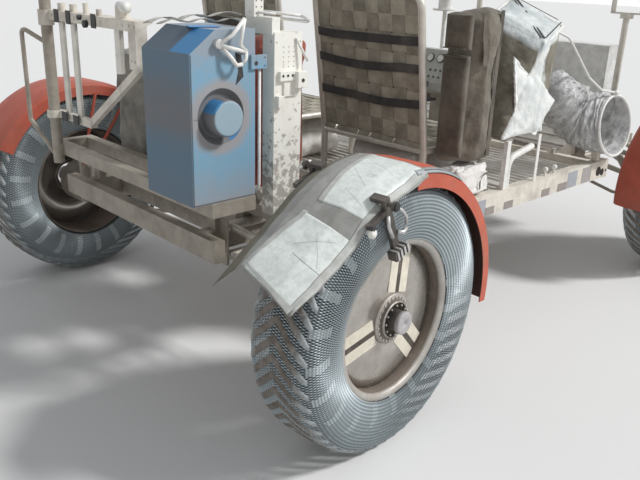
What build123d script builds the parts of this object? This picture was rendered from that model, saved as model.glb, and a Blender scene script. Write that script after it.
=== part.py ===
"""Two-seat electric planetary rover with wire-mesh wheels, four-wheel steering and a rear tool gate.

Frame: origin on the ground midway between the axles, +Y forward, +X to the vehicle's right, +Z up, millimetres.
"""

from build123d import *
import os
from math import atan2, cos, degrees, hypot, radians, sin

# Signs of the sides and ends
right = 1
left = -1
front = 1
rear = -1

# Overall layout
wheelbase = 2286.0
track = 1829.0
wheel_radius = 409.0
axle_height = wheel_radius
axle_y = wheelbase / 2
rest_steer = 4.5

# Wheel
wheel_width = 233.0
tyre_wall = 5.0
tread_height = 4.0
bead_radius = 236.3
bead_half_width = 94.0
drum_radius = 236.0
drum_half_width = 90.0
drum_waist_radius = 226.0
drum_waist_offset = 45.0
drum_wall = 3.0
disc_thickness = 5.0
disc_dish = 20.0
disc_rib_turns = (105, 225, 345)
disc_rib_spacing = 28.0
hub_flange_radius = 70.0
hub_flange_length = 18.0
hub_cap_radius = 34.0
hub_cap_end = 117.0
hub_boss_radius = 40.0
hub_boss_start = -8.0
axle_radius = 20.0
axle_end = 69.5
running_clearance = 0.05
seat_gap = 0.3

# Steering and knuckle, measured from the kingpin axis
kingpin_offset = 162.5
kingpin_x = track / 2 - kingpin_offset
kingpin_radius = 12.0
upright_radius = 26.0
upright_low = 350.0
upright_high = 490.0
lug_thickness = 14.0
knuckle_plate_in = 32.0
knuckle_plate_thickness = 8.0
knuckle_plate_half = 60.0
knuckle_plate_top = 540.0
drive_radius = 92.0
drive_neck_radius = 62.0
drive_neck_length = 26.0
drive_end = 150.0
steer_arm_length = 120.0
steer_arm_width = 24.0
steer_arm_thickness = 12.0
steer_eye_reach = 108.0
steer_eye_drop = 6.0
steer_eye_height = 14.0
tie_rod_radius = 8.0
tie_rod_flat = 150.0
gear_half_width = 90.0
gear_depth = 70.0

# Fenders, angles about the axle from the vehicle's middle side of the wheel, over the top
fender_clearance = 40.5
fender_radius = wheel_radius + fender_clearance
fender_half_width = 130.0
fender_wall = 3.0
fender_lip_drop = 55.0
fender_lip_radius = fender_radius - fender_lip_drop
fender_start = -8.0
fender_full_end = 152.0
fender_broken_end = 91.0
strut_radius = 7.0
strut_offset = -133.5
strut_feet = ((62, 30.0), (84, -30.0))
map_thickness = 2.0
map_gap = 0.5
map_stations = (-131.0, -128.0, -110.0, -60.0, 60.0, 110.0, 128.0, 131.0)
map_sections = (
    (85.5, 0, (22, 16, 5.4, 0, 0, 5.4, 16, 25)),
    (88.2, 0, (22, 16, 5.4, 0, 0, 5.4, 16, 32)),
    (91, 0, (24, 17, 5.4, 0, 0, 5.4, 18, 42)),
    (97, 0, (26, 18, 8, 0, 4, 22, 40, 50)),
    (104, 0, (26, 18, 8, 0, 8, 28, 46, 53)),
    (112, 0, (27, 20, 10, 0, 12, 28, 40, 45)),
    (120, 0, (28, 21, 10, 0, 14, 32, 44, 50)),
    (130, 1, (29, 22, 11, 0, 18, 42, 57, 62)),
    (140, 16, (30, 23, 12, 0, 18, 42, 56, 61)),
    (150, 48, (30, 23, 12, 0, 16, 36, 49, 53)),
    (158.6, 75, (10, 8, 4, 0, 2, 6, 8, 9)),
)
clamp_edge = map_stations[-1] + map_thickness + seat_gap
clamp_depth = 13.0
clamp_half = 11.0
clamps_along = ((112.0, right, 428.0, 405.0, 143.0), (106.0, left, 446.0, 424.0, 34.0))

# Centre chassis
rail_outer = 745.0
rail_width = 38.0
rail_middle = rail_outer - rail_width / 2
rail_low = 496.0
rail_high = 578.0
centre_half_length = axle_y - 538
cross_width = 38.0
floor_low = 520.0
floor_sheet = 2.0
bead_height = 8.0
bead_pitch = 44.0
floor_top = floor_low + 0.3 + floor_sheet + bead_height
pad_half = 60.0
pad_height = 5.0

# Front and rear chassis, cross members measured from the axle
end_rail_outer = 400.0
end_rail_width = 38.0
end_rail_inner = end_rail_outer - end_rail_width
end_rail_low = 486.0
end_rail_high = 556.0
end_length = axle_y + 247
end_deck = end_rail_high + seat_gap
cross_members = (-353.0, -243.0, -133.0, 47.0)
end_beam_half = 495.0
bracket_spread = 160.0
bracket_thickness = 8.0
bracket_reach = 38.0
bracket_low = 442.0
bracket_high = 592.0
tower_high = 662.0
tower_half = 20.0
socket_x = 378.0
socket_y = axle_y - 60
socket_height = 60.0
socket_wall = 5.0
mast_radius = 16.0
mast_clearance = 0.1

# Suspension arms
arm_radius = 13.0
pivot_radius = 16.0
upper_pivot_z = 566.0
lower_pivot_z = 466.0
upper_ball_z = 466.0
lower_ball_z = 366.0
damper_radius = 18.0
damper_rod_radius = 9.0
damper_top_z = 645.0
damper_cross_share = 0.55

# Seats
seat_x = 362.0
seat_half_width = 253.0
seat_tube = 12.7
seat_pan_z = 748.0
seat_front_y = -130.0
seat_back_y = 30 - centre_half_length
seat_top_z = 1285.0
seat_top_y = seat_back_y - 78
seat_bend = 60.0
seat_outer_face = seat_x + seat_half_width + seat_tube + seat_gap
webbing = 6.0
strap_width = 32.0
strap_rise = 3.0
strap_tops = (930.0, 1050.0, 1145.0)

# Crew station
console_half = 165.0
console_low = 812.3
console_high = 1002.0
console_back = 220.0
console_front = 360.0
armrest_low = 770.0
whip_top = 1180.0
whip_helix_length = 150.0
footrest_tilt = 42.0
handhold_radius = 13.0
handhold_foot_y = -200.0
handhold_high = 690.0

# Front equipment
battery_height = 240.0
electronics_height = 150.0
fin_count = 8
fin_pitch = 24.0
relay_depth = 160.0
relay_top = 1000.0
camera_y = end_length - 60
camera_staff_top = 1150.0
camera_tilt_rise = 175.0
camera_pin = 6.0
dish_mast_top = 1700.0
dish_radius = 483.0
dish_tilt_rise = 76.0
dish_block_half = 33.7

# Rear pallet, gate and boxes, lengthwise from the rear axle
rear_axle_y = -axle_y
pallet_low = 660.0
pallet_high = 702.7
pallet_bar = 36.0
pallet_left = -480.0
pallet_right = 560.0
pallet_front = rear_axle_y - 141
pallet_rear = rear_axle_y - 297
gate_x = -417.0
gate_y = rear_axle_y - 307
gate_post_radius = 20.0
gate_post_top = 1290.0
sleeve_radius = 27.0
gate_web = 6.0
gate_bar_end = 198.0
gate_bar_front = gate_y + 60
gate_bar_low = 1146.0
gate_bar_high = 1178.0
gate_foot_low = 800.0
gate_foot_high = 826.0
box_x0 = 316.0
box_x1 = 552.0
box_rear = rear_axle_y - 357
box_front = rear_axle_y - 138
box_top = 1180.0
dial_y = rear_axle_y - 257
dial_z = 948.0
dial_radius = 51.0
dial_out = 590.0
post_x0 = 497.0
post_x1 = 550.0
post_rear = rear_axle_y - 66
post_front = rear_axle_y + 40
post_base = 619.4
outrigger_width = 39.0
outrigger_depth = 19.4
post_top = 1167.0
latch_depth = 6.0
cap_depth = 30.0
gear_bag_depth = 122.0
red_bag_front = rear_axle_y + 263
red_bag_rear = rear_axle_y + 133
red_bag_top = 1130.0

# Bags on the right side
side_bag_low = 700.0
side_bag_height = 540.0
sample_bag_low = 765.0
sample_rim_depth = 14.0
sleeve_wall = 6.0
sleeve_foot_top = 650.0
stay_radius = 4.5
stay_bend = 60.0
stay_socket_depth = 16.0
stay_path = (
    (668, 100, 1150),
    (706, 165, 1118),
    (727, 335, 955),
    (738, 440, 898),
    (757, 544, 881),
)

def block(x0, x1, y0, y1, z0, z1):
    """A box from its six limits."""
    middle = ((x0 + x1) / 2, (y0 + y1) / 2, (z0 + z1) / 2)
    return Pos(*middle) * Box(x1 - x0, y1 - y0, z1 - z0)


def rod(start, end, radius):
    """A round bar between two points."""
    a = Vector(*start)
    b = Vector(*end)
    run = b - a
    place = Plane(origin=a, z_dir=run)
    along = (Align.CENTER, Align.CENTER, Align.MIN)
    return place * Cylinder(radius, run.length, align=along)


def pipe(points, radius, bend):
    """A bent round tube, solid, with arcs at its corners."""
    path = FilletPolyline(*points, radius=bend)
    section = Plane(origin=path @ 0, z_dir=path % 0) * Circle(radius)
    return sweep(section, path=path)


def beam(start, end, width, height):
    """A rectangular bar between two points, its height as near vertical as it can be."""
    a = Vector(*start)
    b = Vector(*end)
    run = b - a
    side = run.cross(Vector(0, 0, 1))
    place = Plane(origin=a, x_dir=side, z_dir=run)
    along = (Align.CENTER, Align.CENTER, Align.MIN)
    return place * Box(width, height, run.length, align=along)


def side_profile(points, x0, x1):
    """Extrudes a (y, z) outline across the vehicle from x0 to x1."""
    face = make_face(Polyline(*points, close=True).edges())
    face = Plane(origin=(x0, 0, 0), x_dir=(0, 1, 0), z_dir=(1, 0, 0)) * face
    return extrude(face, amount=x1 - x0)


def turned(profile, start=0.0, arc=360.0):
    """Turns an (axial, radial) outline about the X axis, from the forward side over the top."""
    face = make_face(Polyline(*profile, close=True).edges())
    face = Rot(start, 0, 0) * face
    return revolve(face, axis=Axis.X, revolution_arc=arc)


def both_sides(shape):
    """The shape and its mirror image on the other side of the vehicle."""
    return [shape, mirror(shape, about=Plane.YZ)]


def group(shapes):
    """One compound of solids that do not touch each other."""
    solids = []
    for shape in shapes:
        solids.extend(shape.solids())
    return Compound(children=solids)


# Wheels


def tyre_shell():
    """The woven carcass with its tread band, open towards the drum."""
    half = wheel_width / 2
    outer = [
        (bead_half_width, bead_radius),
        (bead_half_width, bead_radius + 10),
        (half - 8, 286),
        (half, 330),
        (half - 5, 374),
        (half - 24, 397),
        (half - 60, wheel_radius - 1),
    ]
    inner = [
        (bead_half_width - 10, bead_radius),
        (bead_half_width - 10, bead_radius + 12),
        (half - 8 - tyre_wall, 287),
        (half - tyre_wall, 330),
        (half - 5 - tyre_wall, 371),
        (half - 28, 392),
        (half - 62, wheel_radius - tread_height - tyre_wall),
    ]
    crown = [(0, wheel_radius)]
    belly = [(0, wheel_radius - tread_height - tyre_wall + 1)]
    other_outer = [(-x, r) for x, r in reversed(outer)]
    other_inner = [(-x, r) for x, r in inner]
    outline = outer + crown + other_outer + other_inner + belly + list(reversed(inner))
    return turned(outline)


def wheel_hub():
    """The waisted drum with its dished disc, ribs in pairs, flange, hub cap and axle bore."""
    face = drum_waist_offset + drum_wall
    flange = face + disc_dish
    cap_start = flange + hub_flange_length
    back = face - disc_thickness
    waist_in = drum_waist_radius - drum_wall
    bore = axle_radius + running_clearance
    bore_end = axle_end + 2.5
    outline = [
        (drum_half_width, drum_radius),
        (drum_half_width, drum_radius - drum_wall),
        (face, waist_in),
        (flange, hub_flange_radius),
        (cap_start, hub_flange_radius),
        (cap_start, hub_cap_radius),
        (hub_cap_end - 3, hub_cap_radius),
        (hub_cap_end, hub_cap_radius - 3),
        (hub_cap_end, 0),
        (bore_end, 0),
        (bore_end, bore),
        (hub_boss_start, bore),
        (hub_boss_start, hub_boss_radius),
        (flange - disc_thickness, hub_boss_radius),
        (flange - disc_thickness, hub_flange_radius - 4),
        (back, waist_in),
        (-drum_half_width, drum_radius - drum_wall),
        (-drum_half_width, drum_radius),
        (drum_waist_offset, drum_waist_radius),
    ]
    hub = turned(outline)
    length = waist_in - hub_flange_radius
    slope = degrees(atan2(disc_dish, length))
    rib_middle = (waist_in + hub_flange_radius) / 2
    for turn in disc_rib_turns:
        for aside in (-disc_rib_spacing / 2, disc_rib_spacing / 2):
            rib = Pos(face + disc_dish / 2, aside, rib_middle) * Rot(0, -slope, 0) * Box(6, 12, length)
            hub += Rot(turn, 0, 0) * rib
    return hub


# Knuckles, built about the kingpin axis at x = 0 with the axle along +X and the vehicle's middle along +Y


def knuckle():
    """Kingpin, its two lugs, the upright plate, the traction drive, the axle stub and the steering arm."""
    top = upright_high + seat_gap
    low = upright_low - seat_gap
    plate_out = knuckle_plate_in + knuckle_plate_thickness
    body = rod((0, 0, low - lug_thickness), (0, 0, top + lug_thickness), kingpin_radius)
    for base in (low - lug_thickness, top):
        body += rod((0, 0, base), (0, 0, base + lug_thickness), upright_radius)
        body += block(0, plate_out, -upright_radius, upright_radius, base, base + lug_thickness)
    half = knuckle_plate_half
    body += block(knuckle_plate_in, plate_out, -half, half, low - lug_thickness, knuckle_plate_top)
    neck_end = plate_out + drive_neck_length
    body += rod((plate_out, 0, axle_height), (neck_end, 0, axle_height), drive_neck_radius)
    body += rod((neck_end, 0, axle_height), (drive_end, 0, axle_height), drive_radius)
    stub_end = kingpin_offset + axle_end
    body += rod((drive_end, 0, axle_height), (stub_end, 0, axle_height), axle_radius)
    arm_top = low - lug_thickness
    half_arm = steer_arm_width / 2
    body += block(-half_arm, half_arm, -half_arm, steer_arm_length, arm_top - steer_arm_thickness, arm_top)
    return body


def fender_section():
    """The fender's cross-section as (axial, radial) points: a crowned sheet with turned-down lips."""
    outer = [
        (fender_half_width, fender_lip_radius),
        (fender_half_width - 3, fender_radius - 17),
        (fender_half_width - 20, fender_radius - 6),
        (fender_half_width - 70, fender_radius),
    ]
    inner = [
        (fender_half_width - fender_wall, fender_lip_radius),
        (fender_half_width - 3 - fender_wall, fender_radius - 18),
        (fender_half_width - 21, fender_radius - 6 - fender_wall),
        (fender_half_width - 70, fender_radius - fender_wall),
    ]
    other_outer = [(-x, r) for x, r in reversed(outer)]
    other_inner = [(-x, r) for x, r in inner]
    return outer + other_outer + other_inner + list(reversed(inner))


def fender(end):
    """A fender from its lower end near the vehicle's middle to the angle given, with its struts and foot."""
    skin = turned(fender_section(), fender_start, end - fender_start)
    skin = Pos(kingpin_offset, 0, axle_height) * skin
    x = kingpin_offset + strut_offset
    reach = fender_lip_radius + 6
    foot_low = upright_high + 16
    foot_top = knuckle_plate_top + 16
    shape = skin + block(knuckle_plate_in - 6, knuckle_plate_in, -45, 45, foot_low, foot_top)
    for angle, y in strut_feet:
        tip = (x, reach * cos(radians(angle)), axle_height + reach * sin(radians(angle)))
        shape += rod((x, y, knuckle_plate_top + 7), tip, strut_radius)
    return shape


def offset_line(points, thickness):
    """The open line moved to its left by the thickness, corner by corner."""
    moved = []
    for n, (x, r) in enumerate(points):
        before = points[max(n - 1, 0)]
        after = points[min(n + 1, len(points) - 1)]
        run = hypot(after[0] - before[0], after[1] - before[1])
        moved.append((x - thickness * (after[1] - before[1]) / run, r + thickness * (after[0] - before[0]) / run))
    return moved


def fender_maps():
    """The stiff sheet of taped charts in place of the fender's lost rear end, drooping to both its edges."""
    sections = []
    for angle, lift, drops in map_sections:
        crown = fender_radius + map_gap + lift
        under = [(x, crown - drop) for x, drop in zip(map_stations, drops)]
        outline = under + list(reversed(offset_line(under, map_thickness)))
        face = make_face(Polyline(*outline, close=True).edges())
        turn = radians(angle)
        place = Plane(origin=(0, 0, 0), x_dir=(1, 0, 0), z_dir=(0, -sin(turn), cos(turn)))
        sections.append(place * face)
    return Pos(kingpin_offset, 0, axle_height) * loft(sections, ruled=True)


def fender_clamp(angle, side, jaw_low, edge, leg):
    """A screw clamp at one edge of the sheet: a bar along it, jaws above and below, a leg and a side screw."""
    x0 = clamp_edge
    x1 = x0 + clamp_depth
    half = clamp_half
    clamp = block(x0, x1, -half, half, edge - leg, jaw_low + 12)
    clamp += block(x0 - 34, x1, -half, half, jaw_low, jaw_low + 12)
    clamp += block(x0 - 13, x1, -half, half, edge - 33, edge - 13)
    clamp += block(x0, x1, -80, 24, edge - 8, edge + 6)
    clamp += block(x0, x1 + 15, -26, 26, edge - leg, edge - leg + 26)
    clamp += rod((x1, 0, edge + 18), (x1 + 18, 0, edge + 18), 5)
    clamp += rod((x1 + 18, 0, edge + 18), (x1 + 26, 0, edge + 18), 13)
    if side == left:
        clamp = mirror(clamp, about=Plane.YZ)
    return Pos(kingpin_offset, 0, axle_height) * Rot(angle - 90, 0, 0) * clamp


def at_corner(shape, side, end):
    """Sets a right rear corner's shape, built about its kingpin, at any corner and turns it to its rest steer."""
    if end == front:
        shape = mirror(shape, about=Plane.XZ)
    if side == left:
        shape = mirror(shape, about=Plane.YZ)
    return Pos(side * kingpin_x, end * axle_y, 0) * Rot(0, 0, -end * rest_steer) * shape


def on_axle(shape):
    """Moves a wheel piece from the wheel's centre to its place outboard of the kingpin."""
    return Pos(kingpin_offset, 0, axle_height) * shape


# Chassis


def centre_frame():
    """Two deep side rails with three cross members and a raised adapter pad on the front one."""
    inner = rail_outer - rail_width
    half = centre_half_length
    frame = block(inner, rail_outer, -half, half, rail_low, rail_high)
    frame += block(-rail_outer, -inner, -half, half, rail_low, rail_high)
    for y in (-half, half - cross_width):
        frame += block(-inner, inner, y, y + cross_width, end_rail_low, end_rail_high)
    frame += block(-inner, inner, -cross_width / 2, cross_width / 2, rail_low, floor_low)
    pad_y = half - cross_width + 3
    pad_top = end_rail_high + pad_height
    return frame + block(-pad_half, pad_half, pad_y, half - 3, end_rail_high, pad_top)


def floor_panels():
    """The beaded floor sheets fore and aft of the middle cross member, with beads across the vehicle."""
    side = rail_outer - rail_width - seat_gap
    base = floor_low + seat_gap
    top = base + floor_sheet
    start = 0.5
    end = centre_half_length - cross_width - seat_gap
    count = int((end - start - 20) // bead_pitch)
    lead = (end - start - count * bead_pitch) / 2
    ramp = bead_pitch / 8
    flat = bead_pitch / 4
    over = [(start, top)]
    under = [(start, base)]
    for n in range(count):
        y = start + lead + n * bead_pitch + bead_pitch / 4
        for outline, z in ((over, top), (under, base)):
            outline += [(y, z), (y + ramp, z + bead_height)]
            outline += [(y + ramp + flat, z + bead_height), (y + 2 * ramp + flat, z)]
    over.append((end, top))
    under.append((end, base))
    panel = side_profile(over + list(reversed(under)), -side, side)
    return group([panel, mirror(panel, about=Plane.XZ)])


def end_frame():
    """The front chassis: side rails, cross members, wide end beam, suspension brackets and damper towers."""
    inner = end_rail_inner
    low = end_rail_low
    high = end_rail_high
    frame = block(-end_beam_half, end_beam_half, end_length - cross_width, end_length, low, high)
    for offset in cross_members:
        y = axle_y + offset
        frame += block(-inner, inner, y, y + cross_width, low, high)
    for side in (left, right):
        x0, x1 = sorted((side * inner, side * end_rail_outer))
        frame += block(x0, x1, centre_half_length, end_length, low, high)
        ear0, ear1 = sorted((side * inner, side * (end_rail_outer + bracket_reach)))
        for y in (axle_y - bracket_spread, axle_y + bracket_spread - bracket_thickness):
            frame += block(ear0, ear1, y, y + bracket_thickness, bracket_low, bracket_high)
        frame += block(x0, x1, axle_y - tower_half, axle_y + tower_half, high, tower_high)
    return frame


def front_frame():
    """The front chassis with an upright mast socket on each side rail."""
    frame = end_frame()
    bore = mast_radius + mast_clearance
    top = end_rail_high + socket_height
    for x in (-socket_x, socket_x):
        socket = rod((x, socket_y, end_rail_high), (x, socket_y, top), bore + socket_wall)
        frame += socket - rod((x, socket_y, end_rail_high), (x, socket_y, top), bore)
    return frame


def suspension_corner():
    """Upper and lower arms, the upright that carries the kingpin, and the damper, for one corner at y = 0."""
    pivot_x = end_rail_outer + pivot_radius + seat_gap
    spread = bracket_spread - bracket_thickness - seat_gap
    foot_y = spread - 22
    shape = rod((kingpin_x, 0, upright_low), (kingpin_x, 0, upright_high), upright_radius)
    for pivot_z, ball_z in ((upper_pivot_z, upper_ball_z), (lower_pivot_z, lower_ball_z)):
        shape += rod((pivot_x, -spread, pivot_z), (pivot_x, spread, pivot_z), pivot_radius)
        for y in (-foot_y, foot_y):
            shape += rod((pivot_x, y, pivot_z), (kingpin_x, 0, ball_z), arm_radius)
    share = damper_cross_share
    cross_x = pivot_x + share * (kingpin_x - pivot_x)
    cross_y = foot_y * (1 - share)
    cross_z = lower_pivot_z + share * (lower_ball_z - lower_pivot_z)
    shape += rod((cross_x, -cross_y, cross_z), (cross_x, cross_y, cross_z), damper_rod_radius)
    eye_x = end_rail_outer + seat_gap + damper_radius
    foot = Vector(cross_x, 0, cross_z)
    head = Vector(eye_x, 0, damper_top_z)
    waist = foot + (head - foot) * 0.5
    shape += rod(tuple(foot), tuple(waist), damper_radius)
    shape += rod(tuple(waist), tuple(head), damper_rod_radius)
    shape += rod((eye_x, -14, damper_top_z), (eye_x, 14, damper_top_z), damper_radius)
    bore = kingpin_radius + running_clearance
    return shape - rod((kingpin_x, 0, upright_low - 1), (kingpin_x, 0, upright_high + 1), bore)


def suspension(end):
    """Both corners of one axle."""
    corner = Pos(0, end * axle_y, 0) * suspension_corner()
    return group(both_sides(corner))


def steering_gear():
    """Steering gearbox and tie rods of both axles; each rod's outer eye is left clear below its knuckle arm."""
    arm_low = upright_low - seat_gap - lug_thickness - steer_arm_thickness
    eye_top = arm_low - steer_eye_drop
    eye_low = eye_top - steer_eye_height
    rod_z = (eye_top + eye_low) / 2
    turn = radians(rest_steer)
    y = axle_y - steer_eye_reach * cos(turn)
    top = end_rail_low - seat_gap
    low = top - gear_depth
    shape = block(-gear_half_width, gear_half_width, y - 45, y + 45, low, top)
    for side in (left, right):
        x = side * kingpin_x - steer_eye_reach * sin(turn)
        shape += rod((x, y, eye_low), (x, y, eye_top), 13)
        knee = (x - side * tie_rod_flat, y, rod_z)
        inboard = (side * (gear_half_width - 20), y, low + 20)
        shape += pipe([(x, y, rod_z), knee, inboard], tie_rod_radius, 60)
    return group([shape, mirror(shape, about=Plane.XZ)])


# Seats and crew station


def seat_frame():
    """One tubular seat: pan hoop, back hoop and four legs."""
    x0 = seat_x - seat_half_width
    x1 = seat_x + seat_half_width
    z = seat_pan_z
    pan = [(x0, seat_back_y, z), (x0, seat_front_y, z), (x1, seat_front_y, z), (x1, seat_back_y, z)]
    shape = pipe(pan, seat_tube, seat_bend)
    back = [(x0, seat_back_y, z), (x0, seat_top_y, seat_top_z), (x1, seat_top_y, seat_top_z), (x1, seat_back_y, z)]
    shape += pipe(back, seat_tube, seat_bend)
    shape += rod((x0, seat_back_y, z), (x1, seat_back_y, z), seat_tube)
    for x, leg_x in ((x0, x0 + 60), (x1, x1 - 60)):
        shape += rod((x, seat_back_y, z), (x, seat_back_y, end_deck), seat_tube)
        shape += rod((leg_x, seat_front_y, z), (leg_x, seat_front_y, floor_top + seat_gap), seat_tube)
    return shape


def seat_webbing():
    """The woven pan and back of one seat, stretched inside the tubes, with three straps across the back."""
    inset = seat_tube + seat_gap
    x0 = seat_x - seat_half_width + inset
    x1 = seat_x + seat_half_width - inset
    z = seat_pan_z
    half = webbing / 2
    corner = seat_bend - inset
    pan = block(x0, x1, seat_back_y + inset, seat_front_y - inset, z - half, z + half)
    pan = fillet(pan.edges().filter_by(Axis.Z).group_by(Axis.Y)[-1], corner)
    lean = degrees(atan2(seat_back_y - seat_top_y, seat_top_z - z))
    height = hypot(seat_back_y - seat_top_y, seat_top_z - z)
    back = block(x0, x1, -half, half, seat_tube + 12, height - inset)
    back = fillet(back.edges().filter_by(Axis.Y).group_by(Axis.Z)[-1], corner)
    for top in strap_tops:
        reach = (top - z) / cos(radians(lean))
        back += block(x0, x1, -half - strap_rise, half, reach - strap_width, reach)
    back = Pos(0, seat_back_y, z) * Rot(lean, 0, 0) * back
    return group([pan, back])


def under_seat_bag():
    """The fabric bag that fills the space below one seat."""
    low = floor_top + seat_gap
    bag = block(seat_x - 175, seat_x + 175, seat_back_y + 60, seat_front_y - 45, low, seat_pan_z - 25)
    return fillet(bag.edges(), 25)


def seat_side_bag():
    """The soft bag that hangs beside the right seat's back, its rear corner cut away in plan."""
    x = seat_outer_face
    outline = [(x, -598), (x + 117, -432), (x + 117, -330), (x, -330)]
    face = make_face(Polyline(*outline, close=True).edges())
    bag = extrude(Plane(origin=(0, 0, side_bag_low)) * face, amount=side_bag_height)
    return fillet(bag.edges(), 22)


def white_bag():
    """The sample bag outboard of the right seat: a stiff tilted rim, a loose flap and a socket for its stay."""
    low_z = sample_bag_low
    foot = [(650, -290), (650, -2), (745, -2), (745, -290)]
    foot_face = make_face(Polyline(*[(x, y, low_z) for x, y in foot], close=True).edges())
    near = Vector(750, -82, 1116)
    across = Vector(-196, -76, 94)
    along = Vector(-56, 216, 59)
    rim = [near + across, near + across + along, near + along, near]
    rim_face = make_face(Polyline(*[tuple(point) for point in rim], close=True).edges())
    bag = loft([foot_face, rim_face], ruled=True)
    bag += extrude(rim_face, amount=sample_rim_depth, dir=along.cross(across).normalized() * -1)
    bag -= rod(stay_path[0], stay_path[1], stay_radius + seat_gap)
    flap = [(-292, 1086), (-217, 835), (-51, 747), (73, 890)]
    return bag + side_profile(flap, 742, 746)


def bag_supports():
    """The flat post and strap that carry the sample bag above the side rail."""
    z = rail_high + seat_gap
    high = sample_bag_low - seat_gap
    post = block(rail_middle, rail_outer - 1, -242, -220, z, high)
    strap = block(rail_middle + 10, rail_middle + 14, -22, -4, z, high)
    return group([post, strap])


def hoop_bag():
    """The fabric sleeve that leans forward over the side rail, with a hoop in its open mouth."""
    stations = (
        ((638, 204, 913), (-0.2, 0.85, -0.48), 78),
        ((609, 330, 845), (0.25, 0.8, -0.54), 105),
        ((648, 475, 753), (0.86, 0.49, -0.15), 126),
        ((775, 552, 739), (0.91, 0.39, 0.14), 131),
    )
    outside = []
    inside = []
    for centre, normal, radius in stations:
        place = Plane(origin=centre, x_dir=(1, 0, 0), z_dir=normal)
        outside.append(place * Circle(radius))
        inside.append(place * Circle(radius - sleeve_wall))
    sleeve = loft(outside, ruled=True)
    mouth, mouth_normal, mouth_radius = stations[-1]
    hoop = Plane(origin=mouth, z_dir=mouth_normal) * Torus(mouth_radius, sleeve_wall)
    foot = block(rail_middle - 14, rail_middle + 14, 500, 528, rail_high + seat_gap, sleeve_foot_top)
    end = Vector(*stay_path[-1])
    along = (end - Vector(*stay_path[-2])).normalized()
    clip = rod(end - along * stay_socket_depth, end + along * 6, stay_radius + 5)
    socket = rod(end - along * stay_socket_depth * 2, end + along * seat_gap, stay_radius + seat_gap)
    return sleeve + foot + hoop + clip - socket - loft(inside[-2:], ruled=True)


def bag_stay():
    """The thin bent line that holds the sample bag's rim back to the sleeve's hoop."""
    return pipe(stay_path, stay_radius, stay_bend)


def console():
    """The control and display console with its sloped crew face, on a stand between the seats."""
    middle = (console_back + console_front) / 2
    stand = block(-30, 30, middle - 30, middle + 30, floor_top + seat_gap, console_low - 12)
    stand += block(-90, 90, middle - 50, middle + 50, console_low - 12, console_low - seat_gap)
    outline = [
        (console_back + 20, console_low),
        (console_front, console_low),
        (console_front, console_high - 30),
        (console_front - 30, console_high),
        (console_back + 60, console_high),
        (console_back, console_low + 40),
    ]
    return stand, side_profile(outline, -console_half, console_half)


def hand_controller():
    """The armrest and T-shaped hand controller behind the console."""
    low = armrest_low
    top = low + 12
    shape = block(-20, 20, -80, 200, low, top)
    shape += block(-45, 45, -160, -20, top, top + 17)
    shape += block(-20, 20, 170, console_back + 20, low, top)
    shape += rod((0, 120, top), (0, 120, top + 68), 14)
    shape += rod((-52, 120, top + 80), (52, 120, top + 80), 15)
    shape += rod((0, 180, floor_top + seat_gap), (0, 180, low), 12)
    return shape


def footrest():
    """One folding footrest: a ribbed tread on two feet from the front cross member."""
    tread = block(-150, 150, 0, 150, -3, 3)
    for y in (25, 75, 125):
        tread += block(-150, 150, y - 6, y + 6, 3, 10)
    tread = Pos(seat_x, centre_half_length, end_deck + 18) * Rot(footrest_tilt, 0, 0) * tread
    rear_y = centre_half_length - cross_width
    for x in (seat_x - 120, seat_x + 120):
        tread += block(x - 8, x + 8, rear_y, centre_half_length + 12, end_deck, end_deck + 22)
    return tread


def handholds():
    """The bent outboard grab tubes on the side rails, with two stowage knobs ahead of each."""
    x = rail_middle
    z = rail_high + seat_gap
    y = handhold_foot_y
    pieces = [pipe([(x, y, z), (x, y, handhold_high), (x - 6, y + 166, handhold_high + 27)], handhold_radius, 45)]
    for knob_y in (88, 158):
        stem = rod((x, knob_y, z), (x, knob_y, z + 26), 5)
        pieces.append(stem + Pos(x, knob_y, z + 26) * Sphere(11))
    shape = group(pieces)
    return group(both_sides(shape))


# Front equipment


def batteries():
    """Two batteries side by side in their blankets."""
    box = block(30, 290, axle_y - 143, axle_y + 97, end_deck, end_deck + battery_height)
    return group(both_sides(fillet(box.edges().filter_by(Axis.Z), 20)))


def drive_electronics():
    """The drive control box behind the batteries, with its finned lid."""
    start = axle_y - 398
    lid = end_deck + electronics_height
    box = block(-250, 250, start, axle_y - 183, end_deck, lid)
    for n in range(fin_count):
        y = start + 20 + n * fin_pitch
        box += block(-240, 240, y, y + 5, lid, lid + 12)
    return box


def relay_unit():
    """The communications relay unit, carried ahead of the front end beam on two feet."""
    start = end_length + 10
    low = end_deck + 34
    box = block(-280, 280, start, start + relay_depth, low, relay_top)
    box = fillet(box.edges().filter_by(Axis.X), 12)
    for x in (-200, 200):
        box += block(x - 20, x + 20, end_length - cross_width, start + 100, end_deck, end_deck + 14)
        box += block(x - 20, x + 20, start + 40, start + 100, end_deck, low + 10)
    return box


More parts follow.
